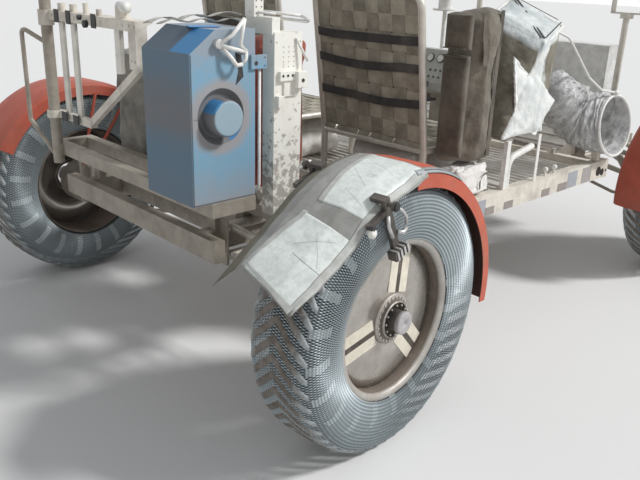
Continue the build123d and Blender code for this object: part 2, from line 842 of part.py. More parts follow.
def build_camera():
    """Camera staff on the chassis, the yoke that pans and the camera that tilts."""
    x = socket_x
    y = camera_y
    staff = rod((x, y, end_deck), (x, y, camera_staff_top), 16)
    staff += block(x - 16, x + 22, y - 26, y + 26, end_deck, end_deck + 10)
    z = camera_staff_top + seat_gap
    tilt_z = z + camera_tilt_rise
    yoke = rod((x, y, z), (x, y, z + 30), 34)
    yoke += block(x - 82, x + 82, y - 20, y + 20, z + 22, z + 30)
    for side in (left, right):
        a, b = sorted((x + side * 74, x + side * 82))
        yoke += block(a, b, y - 20, y + 20, z + 30, tilt_z + 25)
    camera = block(x - 60, x + 60, y - 60, y + 230, tilt_z - 55, tilt_z + 55)
    camera += rod((x, y + 230, tilt_z), (x, y + 295, tilt_z), 38)
    for side in (left, right):
        camera += rod((x + side * 60, y, tilt_z), (x + side * 73.7, y, tilt_z), 16)
        camera += rod((x + side * 60, y, tilt_z), (x + side * 86, y, tilt_z), camera_pin)
        bore = camera_pin + running_clearance
        yoke -= rod((x + side * 70, y, tilt_z), (x + side * 90, y, tilt_z), bore)
    return staff, yoke, camera


def build_antenna():
    """Antenna mast on the chassis, the yoke that turns and the mesh dish that tips."""
    x = -socket_x
    y = socket_y
    mast = rod((x, y, end_deck), (x, y, dish_mast_top), mast_radius)
    z = dish_mast_top + seat_gap
    tilt_z = z + dish_tilt_rise
    yoke = rod((x, y, z), (x, y, z + 24), 30)
    yoke += block(x - 42, x + 42, y - 16, y + 16, z + 16, z + 24)
    half = dish_block_half
    dish = block(x - half, x + half, y - 20, y + 20, tilt_z - 20, tilt_z + 20)
    for side in (left, right):
        a, b = sorted((x + side * 34, x + side * 42))
        yoke += block(a, b, y - 16, y + 16, z + 16, tilt_z + 20)
        dish += rod((x, y, tilt_z), (x + side * 46, y, tilt_z), camera_pin)
        bore = camera_pin + running_clearance
        yoke -= rod((x + side * 30, y, tilt_z), (x + side * 50, y, tilt_z), bore)
    dish += rod((x, y, tilt_z), (x, y, tilt_z + 330), 9)
    dish += rod((x, y, tilt_z + 330), (x, y, tilt_z + 360), 40)
    bowl = [
        (0, 0),
        (dish_radius / 3, 14),
        (dish_radius * 2 / 3, 55),
        (dish_radius, 128),
        (dish_radius, 132),
        (dish_radius * 2 / 3 - 2, 59),
        (dish_radius / 3 - 2, 18),
        (0, 4),
    ]
    face = make_face(Polyline(*bowl, close=True).edges())
    face = Plane(origin=(0, 0, 0), x_dir=(1, 0, 0), z_dir=(0, -1, 0)) * face
    dish += Pos(x, y, tilt_z + 70) * revolve(face, axis=Axis.Z)
    return mast, yoke, dish


def low_gain_antenna():
    """The small helix antenna on its staff beside the console."""
    x = -110
    y = console_front + 60
    shape = rod((x, y, floor_top + seat_gap), (x, y, whip_top), 10)
    shape += rod((x, y, floor_top + seat_gap), (x, y, floor_top + 6), 42)
    shape += rod((x, y, whip_top), (x, y, whip_top + whip_helix_length), 34)
    shape += rod((x, y, whip_top - 8), (x, y, whip_top), 60)
    return shape


# Rear equipment


def pallet_frame():
    """The fixed rear pallet: a raised ring on stubs, the gate's post with its stay, and the post's outrigger."""
    z0 = pallet_low
    z1 = pallet_high - seat_gap
    bar = pallet_bar
    frame = block(pallet_left, pallet_right, pallet_rear, pallet_rear + bar, z0, z1)
    frame += block(pallet_left, pallet_right, pallet_front - bar, pallet_front, z0, z1)
    for x in (pallet_left, pallet_right - bar):
        frame += block(x, x + bar, pallet_rear, pallet_front, z0, z1)
    for side in (left, right):
        s0, s1 = sorted((side * end_rail_outer, side * end_rail_inner))
        frame += block(s0, s1, pallet_front - bar, pallet_front - bar + 16, end_deck, z0)
    frame += gate_post()
    return group([frame, outrigger()])


def gate_post():
    """The fixed upright tube that the gate swings on, its foot lug and the thin outer bail tied to it."""
    x = gate_x
    y = gate_y
    post = rod((x, y, 629), (x, y, gate_post_top), gate_post_radius)
    post += block(x - 24, x + 24, y, pallet_rear + 2, pallet_low, pallet_high - seat_gap)
    bail_x = x - 104
    bail_y = y - 50
    thin = pipe([(x, y, 640), (bail_x, bail_y, 780), (bail_x, bail_y, 1112), (x, y, 1060)], 8, 14)
    return post + thin


def outrigger():
    """The bracket on the rear frame that carries the tall equipment post."""
    y0 = post_rear
    y1 = post_rear + outrigger_width
    knee = post_base - outrigger_depth
    foot = block(end_rail_inner, end_rail_outer, y0, y1, end_deck, knee)
    return foot + block(end_rail_inner, post_x1, y0, y1, knee, post_base)


def equipment_post():
    """The tall white equipment box beside the pallet, with a latch plate and a dark cap behind its top."""
    post = block(post_x0, post_x1, post_rear, post_front, post_base + seat_gap, post_top)
    latch_y = post_rear + 59
    latch_z = post_top - 157
    post += block(post_x1, post_x1 + latch_depth, latch_y - 25, latch_y + 25, latch_z - 25, latch_z + 25)
    post += block(post_x0 - 72, post_x1 - 5, post_rear - 6, post_rear - 6 + cap_depth, post_top - 7, post_top + 40)
    return post


def instrument_box():
    """The blue instrument box with its chamfered rear top and a raised dial in a dished recess."""
    outline = [
        (box_rear, pallet_high),
        (box_front, pallet_high),
        (box_front, box_top),
        (box_rear + 83, box_top),
        (box_rear, box_top - 61),
    ]
    box = side_profile(outline, box_x0, box_x1)
    box -= Pos(box_x1 - 8, dial_y, dial_z) * Rot(0, 90, 0) * Cone(62, 78.5, 16)
    dial = rod((box_x1 - 16, dial_y, dial_z), (dial_out, dial_y, dial_z), dial_radius)
    return box + fillet(dial.edges().group_by(Axis.X)[-1], 8)


def tool_gate():
    """The hinged tool rack: sleeves on its post, angle bar with a gusset end, short post, strut and clips."""
    rear_face = gate_y
    front_face = gate_bar_front
    start = gate_x + 10
    angle = [
        (rear_face, gate_bar_low),
        (rear_face + gate_web, gate_bar_low),
        (rear_face + gate_web, gate_bar_high - gate_web),
        (front_face, gate_bar_high - gate_web),
        (front_face, gate_bar_high),
        (rear_face, gate_bar_high),
    ]
    gate = side_profile(angle, start, gate_bar_end)
    gusset = [(rear_face, gate_bar_low), (front_face, gate_bar_high - gate_web), (rear_face, gate_bar_high)]
    gate += side_profile(gusset, gate_bar_end - gate_web, gate_bar_end)
    middle = rear_face + 20
    gate += block(153, 196, rear_face, rear_face + 40, 1035, gate_bar_high - gate_web)
    gate += block(start, -150, middle - 12, middle + 12, gate_foot_low, gate_foot_high)
    gate += beam((190, middle, 1042), (-165, middle, 813), 20, 24)
    for x, radius, rise in ((-330, 13, 26), (-240, 13, 26), (-150, 9, 34), (-60, 9, 20), (90, 21, 34)):
        gate += rod((x, middle, gate_bar_high), (x, middle, gate_bar_high + rise), radius)
    for z0, z1 in ((gate_foot_low, gate_foot_high), (gate_bar_low - 20, gate_bar_high)):
        gate += rod((gate_x, gate_y, z0), (gate_x, gate_y, z1), sleeve_radius)
        gate -= rod((gate_x, gate_y, z0 - 1), (gate_x, gate_y, z1 + 1), gate_post_radius + running_clearance)
    return gate


def tool_bundle():
    """Long-handled tools that hang below the gate's angle bar."""
    top = gate_bar_high - gate_web - seat_gap
    rear_face = gate_y + gate_web + seat_gap
    tools = []
    for x, low, radius in ((-330, gate_foot_high + seat_gap, 11), (-240, gate_foot_high + seat_gap, 11), (60, 1010, 14)):
        y = rear_face + radius
        tools.append(rod((x, y, low), (x, y, top), radius))
    return group(tools)


def pallet_bags():
    """The gear bags that stand on the rear frame ahead of the pallet."""
    bags = []
    for x0, x1, high in ((-300, -60, 1060), (-52, 200, 1100)):
        bag = block(x0, x1, pallet_front + 2, pallet_front + 2 + gear_bag_depth, end_deck, high)
        bags.append(fillet(bag.edges(), 24))
    return group(bags)


def red_bag():
    """The red fabric bag between the pallet and the right seat's back."""
    bag = block(150, 350, red_bag_rear, red_bag_front, end_deck, red_bag_top)
    return fillet(bag.edges(), 30)


def write(name, shape):
    """Writes one node."""
    export_step(shape, "parts/" + name + ".step")


def write_chassis():
    """The frames, suspension, steering gear and everything that rides on them."""
    write("center_frame", centre_frame())
    write("floor_panels", floor_panels())
    write("front_frame", front_frame())
    write("rear_frame", mirror(end_frame(), about=Plane.XZ))
    write("suspension_front", suspension(front))
    write("suspension_rear", suspension(rear))
    write("steering_gear", steering_gear())
    write("seat_frames", group(both_sides(seat_frame())))
    write("seat_webbing", group(both_sides(seat_webbing())))
    write("under_seat_bags", group(both_sides(under_seat_bag())))
    write("seat_side_bag", seat_side_bag())
    write("white_bag", white_bag())
    write("bag_supports", bag_supports())
    write("hoop_bag", hoop_bag())
    write("bag_stay", bag_stay())
    stand, box = console()
    write("console_stand", stand)
    write("control_console", box)
    write("hand_controller", hand_controller())
    write("footrests", group(both_sides(footrest())))
    write("handholds", handholds())
    write("batteries", batteries())
    write("drive_electronics", drive_electronics())
    write("relay_unit", relay_unit())
    staff, yoke, camera = build_camera()
    write("camera_staff", staff)
    write("camera_yoke", yoke)
    write("tv_camera", camera)
    mast, dish_yoke, dish = build_antenna()
    write("antenna_mast", mast)
    write("antenna_yoke", dish_yoke)
    write("antenna_dish", dish)
    write("low_gain_antenna", low_gain_antenna())
    write("pallet_frame", pallet_frame())
    write("equipment_post", equipment_post())
    write("instrument_box", instrument_box())
    write("tool_gate", tool_gate())
    write("tool_bundle", tool_bundle())
    write("pallet_bags", pallet_bags())
    write("red_bag", red_bag())


def write_corners():
    """The four wheels, knuckles and fenders, with the charts and clamps on the broken one."""
    tyre = on_axle(tyre_shell())
    hub = on_axle(wheel_hub())
    carrier = knuckle()
    full = fender(fender_full_end)
    broken = fender(fender_broken_end)
    corners = (
        ("front_right", right, front, full),
        ("front_left", left, front, full),
        ("rear_right", right, rear, broken),
        ("rear_left", left, rear, full),
    )
    for name, side, end, guard in corners:
        write("tyre_" + name, at_corner(tyre, side, end))
        write("hub_" + name, at_corner(hub, side, end))
        write("knuckle_" + name, at_corner(carrier, side, end))
        write("fender_" + name, at_corner(guard, side, end))
    write("fender_maps", at_corner(fender_maps(), right, rear))
    clamps = group([fender_clamp(*place) for place in clamps_along])
    write("fender_clamps", at_corner(clamps, right, rear))


def main():
    os.makedirs("parts", exist_ok=True)
    write_chassis()
    write_corners()


main()
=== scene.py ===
"""Planetary rover: looks, light and camera over the CAD frame. Lengths are in metres unless a comment says mm."""

from math import cos, pi, radians, sin

import bpy
import numpy as np
from mathutils import Matrix, Vector, noise


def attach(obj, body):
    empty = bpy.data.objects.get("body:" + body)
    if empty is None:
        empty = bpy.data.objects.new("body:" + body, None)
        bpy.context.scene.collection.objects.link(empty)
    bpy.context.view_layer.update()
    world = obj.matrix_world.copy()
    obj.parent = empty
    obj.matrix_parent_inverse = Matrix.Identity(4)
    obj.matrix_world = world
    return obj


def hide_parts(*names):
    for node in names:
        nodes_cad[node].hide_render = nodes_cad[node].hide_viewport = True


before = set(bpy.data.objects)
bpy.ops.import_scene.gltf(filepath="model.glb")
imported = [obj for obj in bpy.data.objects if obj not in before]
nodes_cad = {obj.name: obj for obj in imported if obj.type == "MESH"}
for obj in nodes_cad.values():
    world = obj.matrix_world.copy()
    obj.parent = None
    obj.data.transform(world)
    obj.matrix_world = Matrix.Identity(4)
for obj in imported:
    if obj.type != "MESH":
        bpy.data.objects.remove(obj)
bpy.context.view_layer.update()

MM = 0.001
ACROSS = (1, 0, 0)
WHEELBASE = 2.286
TRACK = 1.829
KINGPIN_OFFSET = 0.1625
AXLE_HEIGHT = 0.409
REST_STEER = 4.5
# Each corner's side (1 is right) and end (1 is front)
CORNERS = {"front_right": (1, 1), "front_left": (-1, 1), "rear_right": (1, -1), "rear_left": (-1, -1)}

# Camera, light and floor

CAMERA_PLACE = (2.199263, -2.584278, 1.334351)
CAMERA_TURNS = (0.80944293, 0.356520442, 0.0333625221)
CAMERA_LENS = 41.089
CAMERA_SHIFT = (0.0031, 0.0047)
SUN_RUN = (-0.55, -0.50, -0.66)
SUN_STRENGTH = 2.7
SUN_WIDTH = 9
SKY_STRENGTH = 0.42
FLOOR_REACH = 40


def place_camera():
    """The photo's camera: its place, yaw, pitch and roll come from the fit."""
    yaw, pitch, roll = CAMERA_TURNS
    forward = Vector((-sin(yaw) * cos(pitch), cos(yaw) * cos(pitch), -sin(pitch)))
    level = Vector((cos(yaw), sin(yaw), 0))
    above = level.cross(forward)
    right = level * cos(roll) + above * sin(roll)
    up = above * cos(roll) - level * sin(roll)
    data = bpy.data.cameras.new("photo_camera")
    camera = bpy.data.objects.new("photo_camera", data)
    bpy.context.scene.collection.objects.link(camera)
    turn = Matrix((right, up, -forward)).transposed().to_4x4()
    camera.matrix_world = Matrix.Translation(CAMERA_PLACE) @ turn
    data.sensor_width = 36
    data.lens = CAMERA_LENS
    data.shift_x, data.shift_y = CAMERA_SHIFT
    data.clip_end = 100
    bpy.context.scene.camera = camera


def build_stage():
    """A plain pale floor, a soft sun from the photo's sunny side and a pale world, white to the camera."""
    mesh = bpy.data.meshes.new("floor")
    corners = [(x * FLOOR_REACH, y * FLOOR_REACH, 0) for x, y in ((-1, -1), (1, -1), (1, 1), (-1, 1))]
    mesh.from_pydata(corners, [], [(0, 1, 2, 3)])
    floor = bpy.data.objects.new("floor", mesh)
    bpy.context.scene.collection.objects.link(floor)
    ground = Surface("floor_paint", 0.9)
    ground.feed("Base Color", (0.80, 0.795, 0.785))
    mesh.materials.append(ground.material)
    lamp = bpy.data.lights.new("key", "SUN")
    lamp.energy = SUN_STRENGTH
    lamp.angle = radians(SUN_WIDTH)
    light = bpy.data.objects.new("key", lamp)
    bpy.context.scene.collection.objects.link(light)
    light.rotation_euler = Vector(SUN_RUN).to_track_quat("-Z", "Y").to_euler()
    world = bpy.data.worlds.new("studio")
    bpy.context.scene.world = world
    world.use_nodes = True
    tree = world.node_tree
    soft = tree.nodes["Background"]
    soft.inputs["Color"].default_value = (0.93, 0.96, 1.0, 1)
    soft.inputs["Strength"].default_value = SKY_STRENGTH
    white = tree.nodes.new("ShaderNodeBackground")
    white.inputs["Color"].default_value = (1, 1, 1, 1)
    path = tree.nodes.new("ShaderNodeLightPath")
    seen, glossy, through = [
        Value(tree, path.outputs["Is %s Ray" % kind]) for kind in ("Camera", "Glossy", "Transmission")
    ]
    blend = tree.nodes.new("ShaderNodeMixShader")
    tree.links.new(seen.most(glossy).most(through).socket, blend.inputs[0])
    tree.links.new(soft.outputs[0], blend.inputs[1])
    tree.links.new(white.outputs[0], blend.inputs[2])
    tree.links.new(blend.outputs[0], tree.nodes["World Output"].inputs[0])
    bpy.context.scene.view_settings.view_transform = "Standard"


# Materials


def plug(tree, value, socket):
    """Feeds a shader value, a colour or a number into a socket."""
    if isinstance(value, Value):
        tree.links.new(value.socket, socket)
    elif isinstance(value, tuple):
        socket.default_value = (*value, 1)
    else:
        socket.default_value = value


class Value:
    """A shader's socket, on which arithmetic adds maths nodes."""

    def __init__(self, tree, socket):
        self.tree = tree
        self.socket = socket

    def maths(self, operation, *terms):
        """A maths node over the terms, each a value or a number."""
        node = self.tree.nodes.new("ShaderNodeMath")
        node.operation = operation
        for term, socket in zip(terms, node.inputs):
            plug(self.tree, term, socket)
        return Value(self.tree, node.outputs["Value"])

    def __add__(self, other):
        return self.maths("ADD", self, other)

    def __sub__(self, other):
        return self.maths("SUBTRACT", self, other)

    def __rsub__(self, other):
        return self.maths("SUBTRACT", other, self)

    def __mul__(self, other):
        return self.maths("MULTIPLY", self, other)

    def __abs__(self):
        return self.maths("ABSOLUTE", self)

    def most(self, other):
        return self.maths("MAXIMUM", self, other)

    def below(self, limit):
        return self.maths("LESS_THAN", self, limit)

    def above(self, limit):
        return self.maths("GREATER_THAN", self, limit)

    def sine(self):
        return self.maths("SINE", self)

    def root(self):
        return self.maths("SQRT", self)

    def sign(self):
        return self.maths("SIGN", self)

    def ramp(self, low, high):
        """Stretched so that low becomes 0 and high becomes 1."""
        node = self.tree.nodes.new("ShaderNodeMapRange")
        node.inputs["From Min"].default_value = low
        node.inputs["From Max"].default_value = high
        plug(self.tree, self, node.inputs["Value"])
        return Value(self.tree, node.outputs["Result"])


class Surface:
    """A material with its shader, its coordinates and the nodes that its look is made of."""

    def __init__(self, name, roughness, metallic=0.0):
        self.material = bpy.data.materials.new(name)
        self.material.use_nodes = True
        self.tree = self.material.node_tree
        self.shader = self.tree.nodes["Principled BSDF"]
        self.where = self.tree.nodes.new("ShaderNodeTexCoord").outputs
        self.feed("Roughness", roughness)
        self.feed("Metallic", metallic)

    def feed(self, name, value):
        """Feeds one of the shader's own sockets."""
        plug(self.tree, value, self.shader.inputs[name])

    def split(self, source):
        """The axes of a vector."""
        node = self.tree.nodes.new("ShaderNodeSeparateXYZ")
        self.tree.links.new(source, node.inputs[0])
        return [Value(self.tree, socket) for socket in node.outputs]

    def uv(self, name):
        """The first value of a named UV map."""
        node = self.tree.nodes.new("ShaderNodeUVMap")
        node.uv_map = name
        return self.split(node.outputs["UV"])[0]

    def noise(self, scale, detail=5.0, rough=0.6, stretch=None):
        """Noise in the object's space, which stretch scales axis by axis."""
        where = self.where["Object"]
        if stretch:
            times = self.tree.nodes.new("ShaderNodeVectorMath")
            times.operation = "MULTIPLY"
            times.inputs[1].default_value = stretch
            self.tree.links.new(where, times.inputs[0])
            where = times.outputs["Vector"]
        node = self.tree.nodes.new("ShaderNodeTexNoise")
        node.inputs["Scale"].default_value = scale
        node.inputs["Detail"].default_value = detail
        node.inputs["Roughness"].default_value = rough
        self.tree.links.new(where, node.inputs["Vector"])
        return Value(self.tree, node.outputs["Fac"])

    def mix(self, factor, first, second):
        """Two colours mixed by a factor."""
        node = self.tree.nodes.new("ShaderNodeMix")
        node.data_type = "RGBA"
        for value, socket in ((factor, 0), (first, 6), (second, 7)):
            plug(self.tree, value, node.inputs[socket])
        return Value(self.tree, node.outputs[2])

    def bump(self, height, strength, distance):
        """Feeds a height into the shader's normal."""
        node = self.tree.nodes.new("ShaderNodeBump")
        node.inputs["Strength"].default_value = strength
        node.inputs["Distance"].default_value = distance
        plug(self.tree, height, node.inputs["Height"])
        self.tree.links.new(node.outputs["Normal"], self.shader.inputs["Normal"])


def toned(colour, share):
    """A colour made darker."""
    return tuple(channel * share for channel in colour)


def dusty(name, colour, roughness, metallic, dust, amount, scale=7, grain=260, depth=0.4):
    """A surface with soil dust in drifts and specks, and fine grain. amount 0 is clean and 1 is covered."""
    s = Surface(name, roughness, metallic)
    drift = s.noise(scale, 6).ramp(0.72 - 0.5 * amount, 0.98 - 0.5 * amount)
    specks = s.noise(scale * 9, 3).ramp(0.62, 0.70)
    cover = drift.most(specks * 0.55) * min(1.0, 0.45 + amount * 0.6)
    base = s.mix(s.noise(scale * 2.3, 4).ramp(0.35, 0.65), toned(colour, 0.84), colour)
    s.feed("Base Color", s.mix(cover, base, dust))
    s.bump(s.noise(grain, 2) + cover * 2.0, depth, 0.0006)
    return s.material


def cloth(name, colour, dark, scale, weave, depth, sheen=0.15, roughness=0.9):
    """Woven cloth with creases in tone, a fine weave and soil smears."""
    s = Surface(name, roughness)
    s.feed("Sheen Weight", sheen)
    base = s.mix(s.noise(scale, 7, 0.65).ramp(0.36, 0.66), dark, colour)
    smear = s.noise(scale * 0.4, 5).ramp(0.50, 0.75)
    soil = tuple(0.5 * a + 0.5 * b for a, b in zip(dark, (0.33, 0.30, 0.26)))
    s.feed("Base Color", s.mix(smear * 0.55, base, soil))
    x, y, z = s.split(s.where["Object"])
    threads = (((x + y) * (weave * 2)).sine() + (z * (weave * 2)).sine()) * 0.12
    s.bump(threads + s.noise(scale * 2.2, 8, 0.6) * 5.0, depth, 0.0015)
    return s.material


def wire_look():
    """Zinc-grey wire with a blue cast: bright where wires meet, dulled between the rows by dust and painted shade."""
    s = Surface("wire", 0.36, 0.35)
    between = abs((s.uv("rows") * pi).sine()).ramp(0.25, 0.95)
    drift = s.noise(6, 5).ramp(0.45, 0.72)
    bright = s.mix(drift * 0.5, (0.58, 0.655, 0.685), (0.43, 0.45, 0.45))
    # Dust and painted shade: each wire darkens midway between the rows, so the crossings stand out bright.
    s.feed("Base Color", s.mix(between * 0.78, bright, (0.13, 0.155, 0.165)))
    return s.material


def tread_look():
    """Grey strip metal under packed brown soil, worn clean and bluish towards the shoulders."""
    s = Surface("tread_strip", 0.62, 0.15)
    clumps = s.noise(34, 7, 0.65)
    edge = (s.uv("flank") + clumps * 0.05).ramp(0.088, 0.128)
    soil = s.mix(clumps.ramp(0.38, 0.66), (0.10, 0.085, 0.07), (0.21, 0.185, 0.16))
    metal = s.mix(s.noise(60, 4).ramp(0.4, 0.7), (0.44, 0.485, 0.50), (0.33, 0.34, 0.335))
    s.feed("Base Color", s.mix(edge, soil, metal))
    s.bump(clumps, 0.8, 0.003)
    return s.material


def box_paint():
    """Blue paint: a crisp halo of dust round the dial, a clean cap, a dusty foot and streaks, with painted shade in the
    dial's recess and on the chamfer's inner part, painted light on the chamfer's outer part, and painted shade on the
    rear face, which also has a band of soil.
    """
    s = Surface("box_blue", 0.62)
    x, y, z = s.split(s.where["Object"])
    dy, dz = y - DIAL_Y, z - DIAL_Z
    reach = (dy * dy + dz * dz).root()
    rough = s.noise(30, 7)
    halo = 1.0 - (reach + rough * 0.03).ramp(0.108, 0.132)
    height = z + rough * 0.12
    foot = 1.0 - height.ramp(0.755, 0.88)
    top = height.ramp(1.13, 1.19)
    streak = s.noise(1.0, 4, stretch=(60, 60, 4)).ramp(0.50, 0.80)
    drift = s.noise(9, 6).ramp(0.50, 0.72)
    cover = halo * 0.85
    for share, strength in ((foot, 0.70), (top, 0.55), (streak, 0.42), (drift, 0.35)):
        cover = cover.most(share * strength)
    painted = s.mix(cover, (0.20, 0.37, 0.50), (0.36, 0.325, 0.315))
    # Painted shade: the dial's recess and its round side are darkened to grey.
    well = reach.below(0.079) * x.below(0.5515)
    side = reach.below(0.0515) * x.below(DIAL_FACE)
    painted = s.mix(well.most(side) * 0.8, painted, (0.13, 0.135, 0.14))
    painted = s.mix(x.above(DIAL_FACE) * 0.85, painted, (0.30, 0.43, 0.50))
    # Painted light and shade on the rear chamfer: dark navy on its inner part, bright blue on its outer part.
    _, normal_y, normal_z = s.split(s.where["Normal"])
    slope = normal_y.below(-0.3) * normal_z.above(0.3)
    chamfer_lit_share = (x + rough * 0.02).ramp(0.462, 0.470)
    painted = s.mix(slope, painted, s.mix(chamfer_lit_share, (0.07, 0.105, 0.145), (0.055, 0.225, 0.46)))
    # Painted shade: the rear face is darkened to navy, with a brownish band of soil across its middle.
    band = abs(height - 1.03).ramp(0.12, 0.05)
    rear_shade_and_soil = s.mix(band * 0.7, (0.075, 0.125, 0.175), (0.125, 0.105, 0.095))
    s.feed("Base Color", s.mix(y.below(-1.4975) * 0.85, painted, rear_shade_and_soil))
    s.bump(s.noise(300, 2), 0.25, 0.0005)
    return s.material


def fender_paint(name, colour, dust):
    """Orange-red shell, dusted above, with painted shade darkening it underneath, where faces look towards the axle."""
    s = Surface(name, 0.55)
    _, y, z = s.split(s.where["Object"])
    _, normal_y, normal_z = s.split(s.where["Normal"])
    ahead = abs(y) - WHEELBASE / 2
    facing = ahead * (normal_y * y.sign()) + (z - AXLE_HEIGHT) * normal_z
    drift = s.noise(7, 6).ramp(0.48, 0.72)
    specks = s.noise(90, 3).ramp(0.60, 0.70)
    base = s.mix(s.noise(16, 5).ramp(0.35, 0.65), toned(colour, 0.82), colour)
    painted = s.mix((drift * 0.5).most(specks * 0.35), base, dust)
    # Painted shade: faces that look towards the axle are darkened nearly to black.
    s.feed("Base Color", s.mix(facing.ramp(-0.10, -0.25) * 0.9, painted, (0.055, 0.04, 0.033)))
    s.bump(s.noise(240, 3), 0.3, 0.0006)
    return s.material


def tent_cloth():
    """Cloth painted olive-brown as shade, except a white outer flap and a pale taut top above the rim's plane."""
    s = Surface("tent_cloth", 0.85)
    x, y, z = s.split(s.where["Object"])
    flap = (x + s.noise(25, 5) * 0.004).ramp(0.7365, 0.7400)
    plane = (z - RIM_CORNER[2]) + ((x - RIM_CORNER[0]) * 0.532 + (y - RIM_CORNER[1]) * -0.135)
    tone = s.noise(14, 6).ramp(0.38, 0.64)
    body = s.mix(tone, (0.15, 0.135, 0.10), (0.27, 0.25, 0.20))
    white = s.mix(tone, (0.66, 0.69, 0.67), (0.90, 0.91, 0.88))
    pale = s.mix(tone, (0.50, 0.54, 0.54), (0.74, 0.77, 0.76))
    # Painted shade: all but the outer flap and the top is dark olive-brown.
    s.feed("Base Color", s.mix(plane.ramp(-0.040, -0.026), s.mix(flap, body, white), pale))
    s.bump(s.noise(34, 8, 0.6), 0.7, 0.006)
    return s.material


def post_paint():
    """Warm white paint, clean above and blotched with dark soil towards the foot."""
    s = Surface("post_white", 0.6)
    height = s.split(s.where["Object"])[2].ramp(0.64, 0.98)
    soil = (s.noise(42, 7, 0.7) - height * 0.22).ramp(0.40, 0.46)
    thin = s.noise(12, 5).ramp(0.45, 0.70)
    base = s.mix(thin * 0.35, (0.87, 0.86, 0.79), (0.66, 0.61, 0.53))
    s.feed("Base Color", s.mix(soil * 0.75, base, (0.30, 0.27, 0.235)))
    s.bump(s.noise(200, 3), 0.3, 0.0006)
    return s.material


def gilt_mesh():
    """Fine gilt wire cloth: a grid of wires with gaps that let light through."""
    s = Surface("gilt_cloth", 0.35, 0.85)
    x, y, _ = s.split(s.where["Object"])
    wires = (x * 1500).sine().most((y * 1500).sine()).ramp(0.1, 0.5)
    s.feed("Base Color", s.mix(wires, (0.30, 0.24, 0.12), (0.80, 0.66, 0.36)))
    s.feed("Alpha", wires.most(0.45))
    s.bump(wires, 0.4, 0.0006)
    return s.material


SOIL = (0.33, 0.29, 0.25)
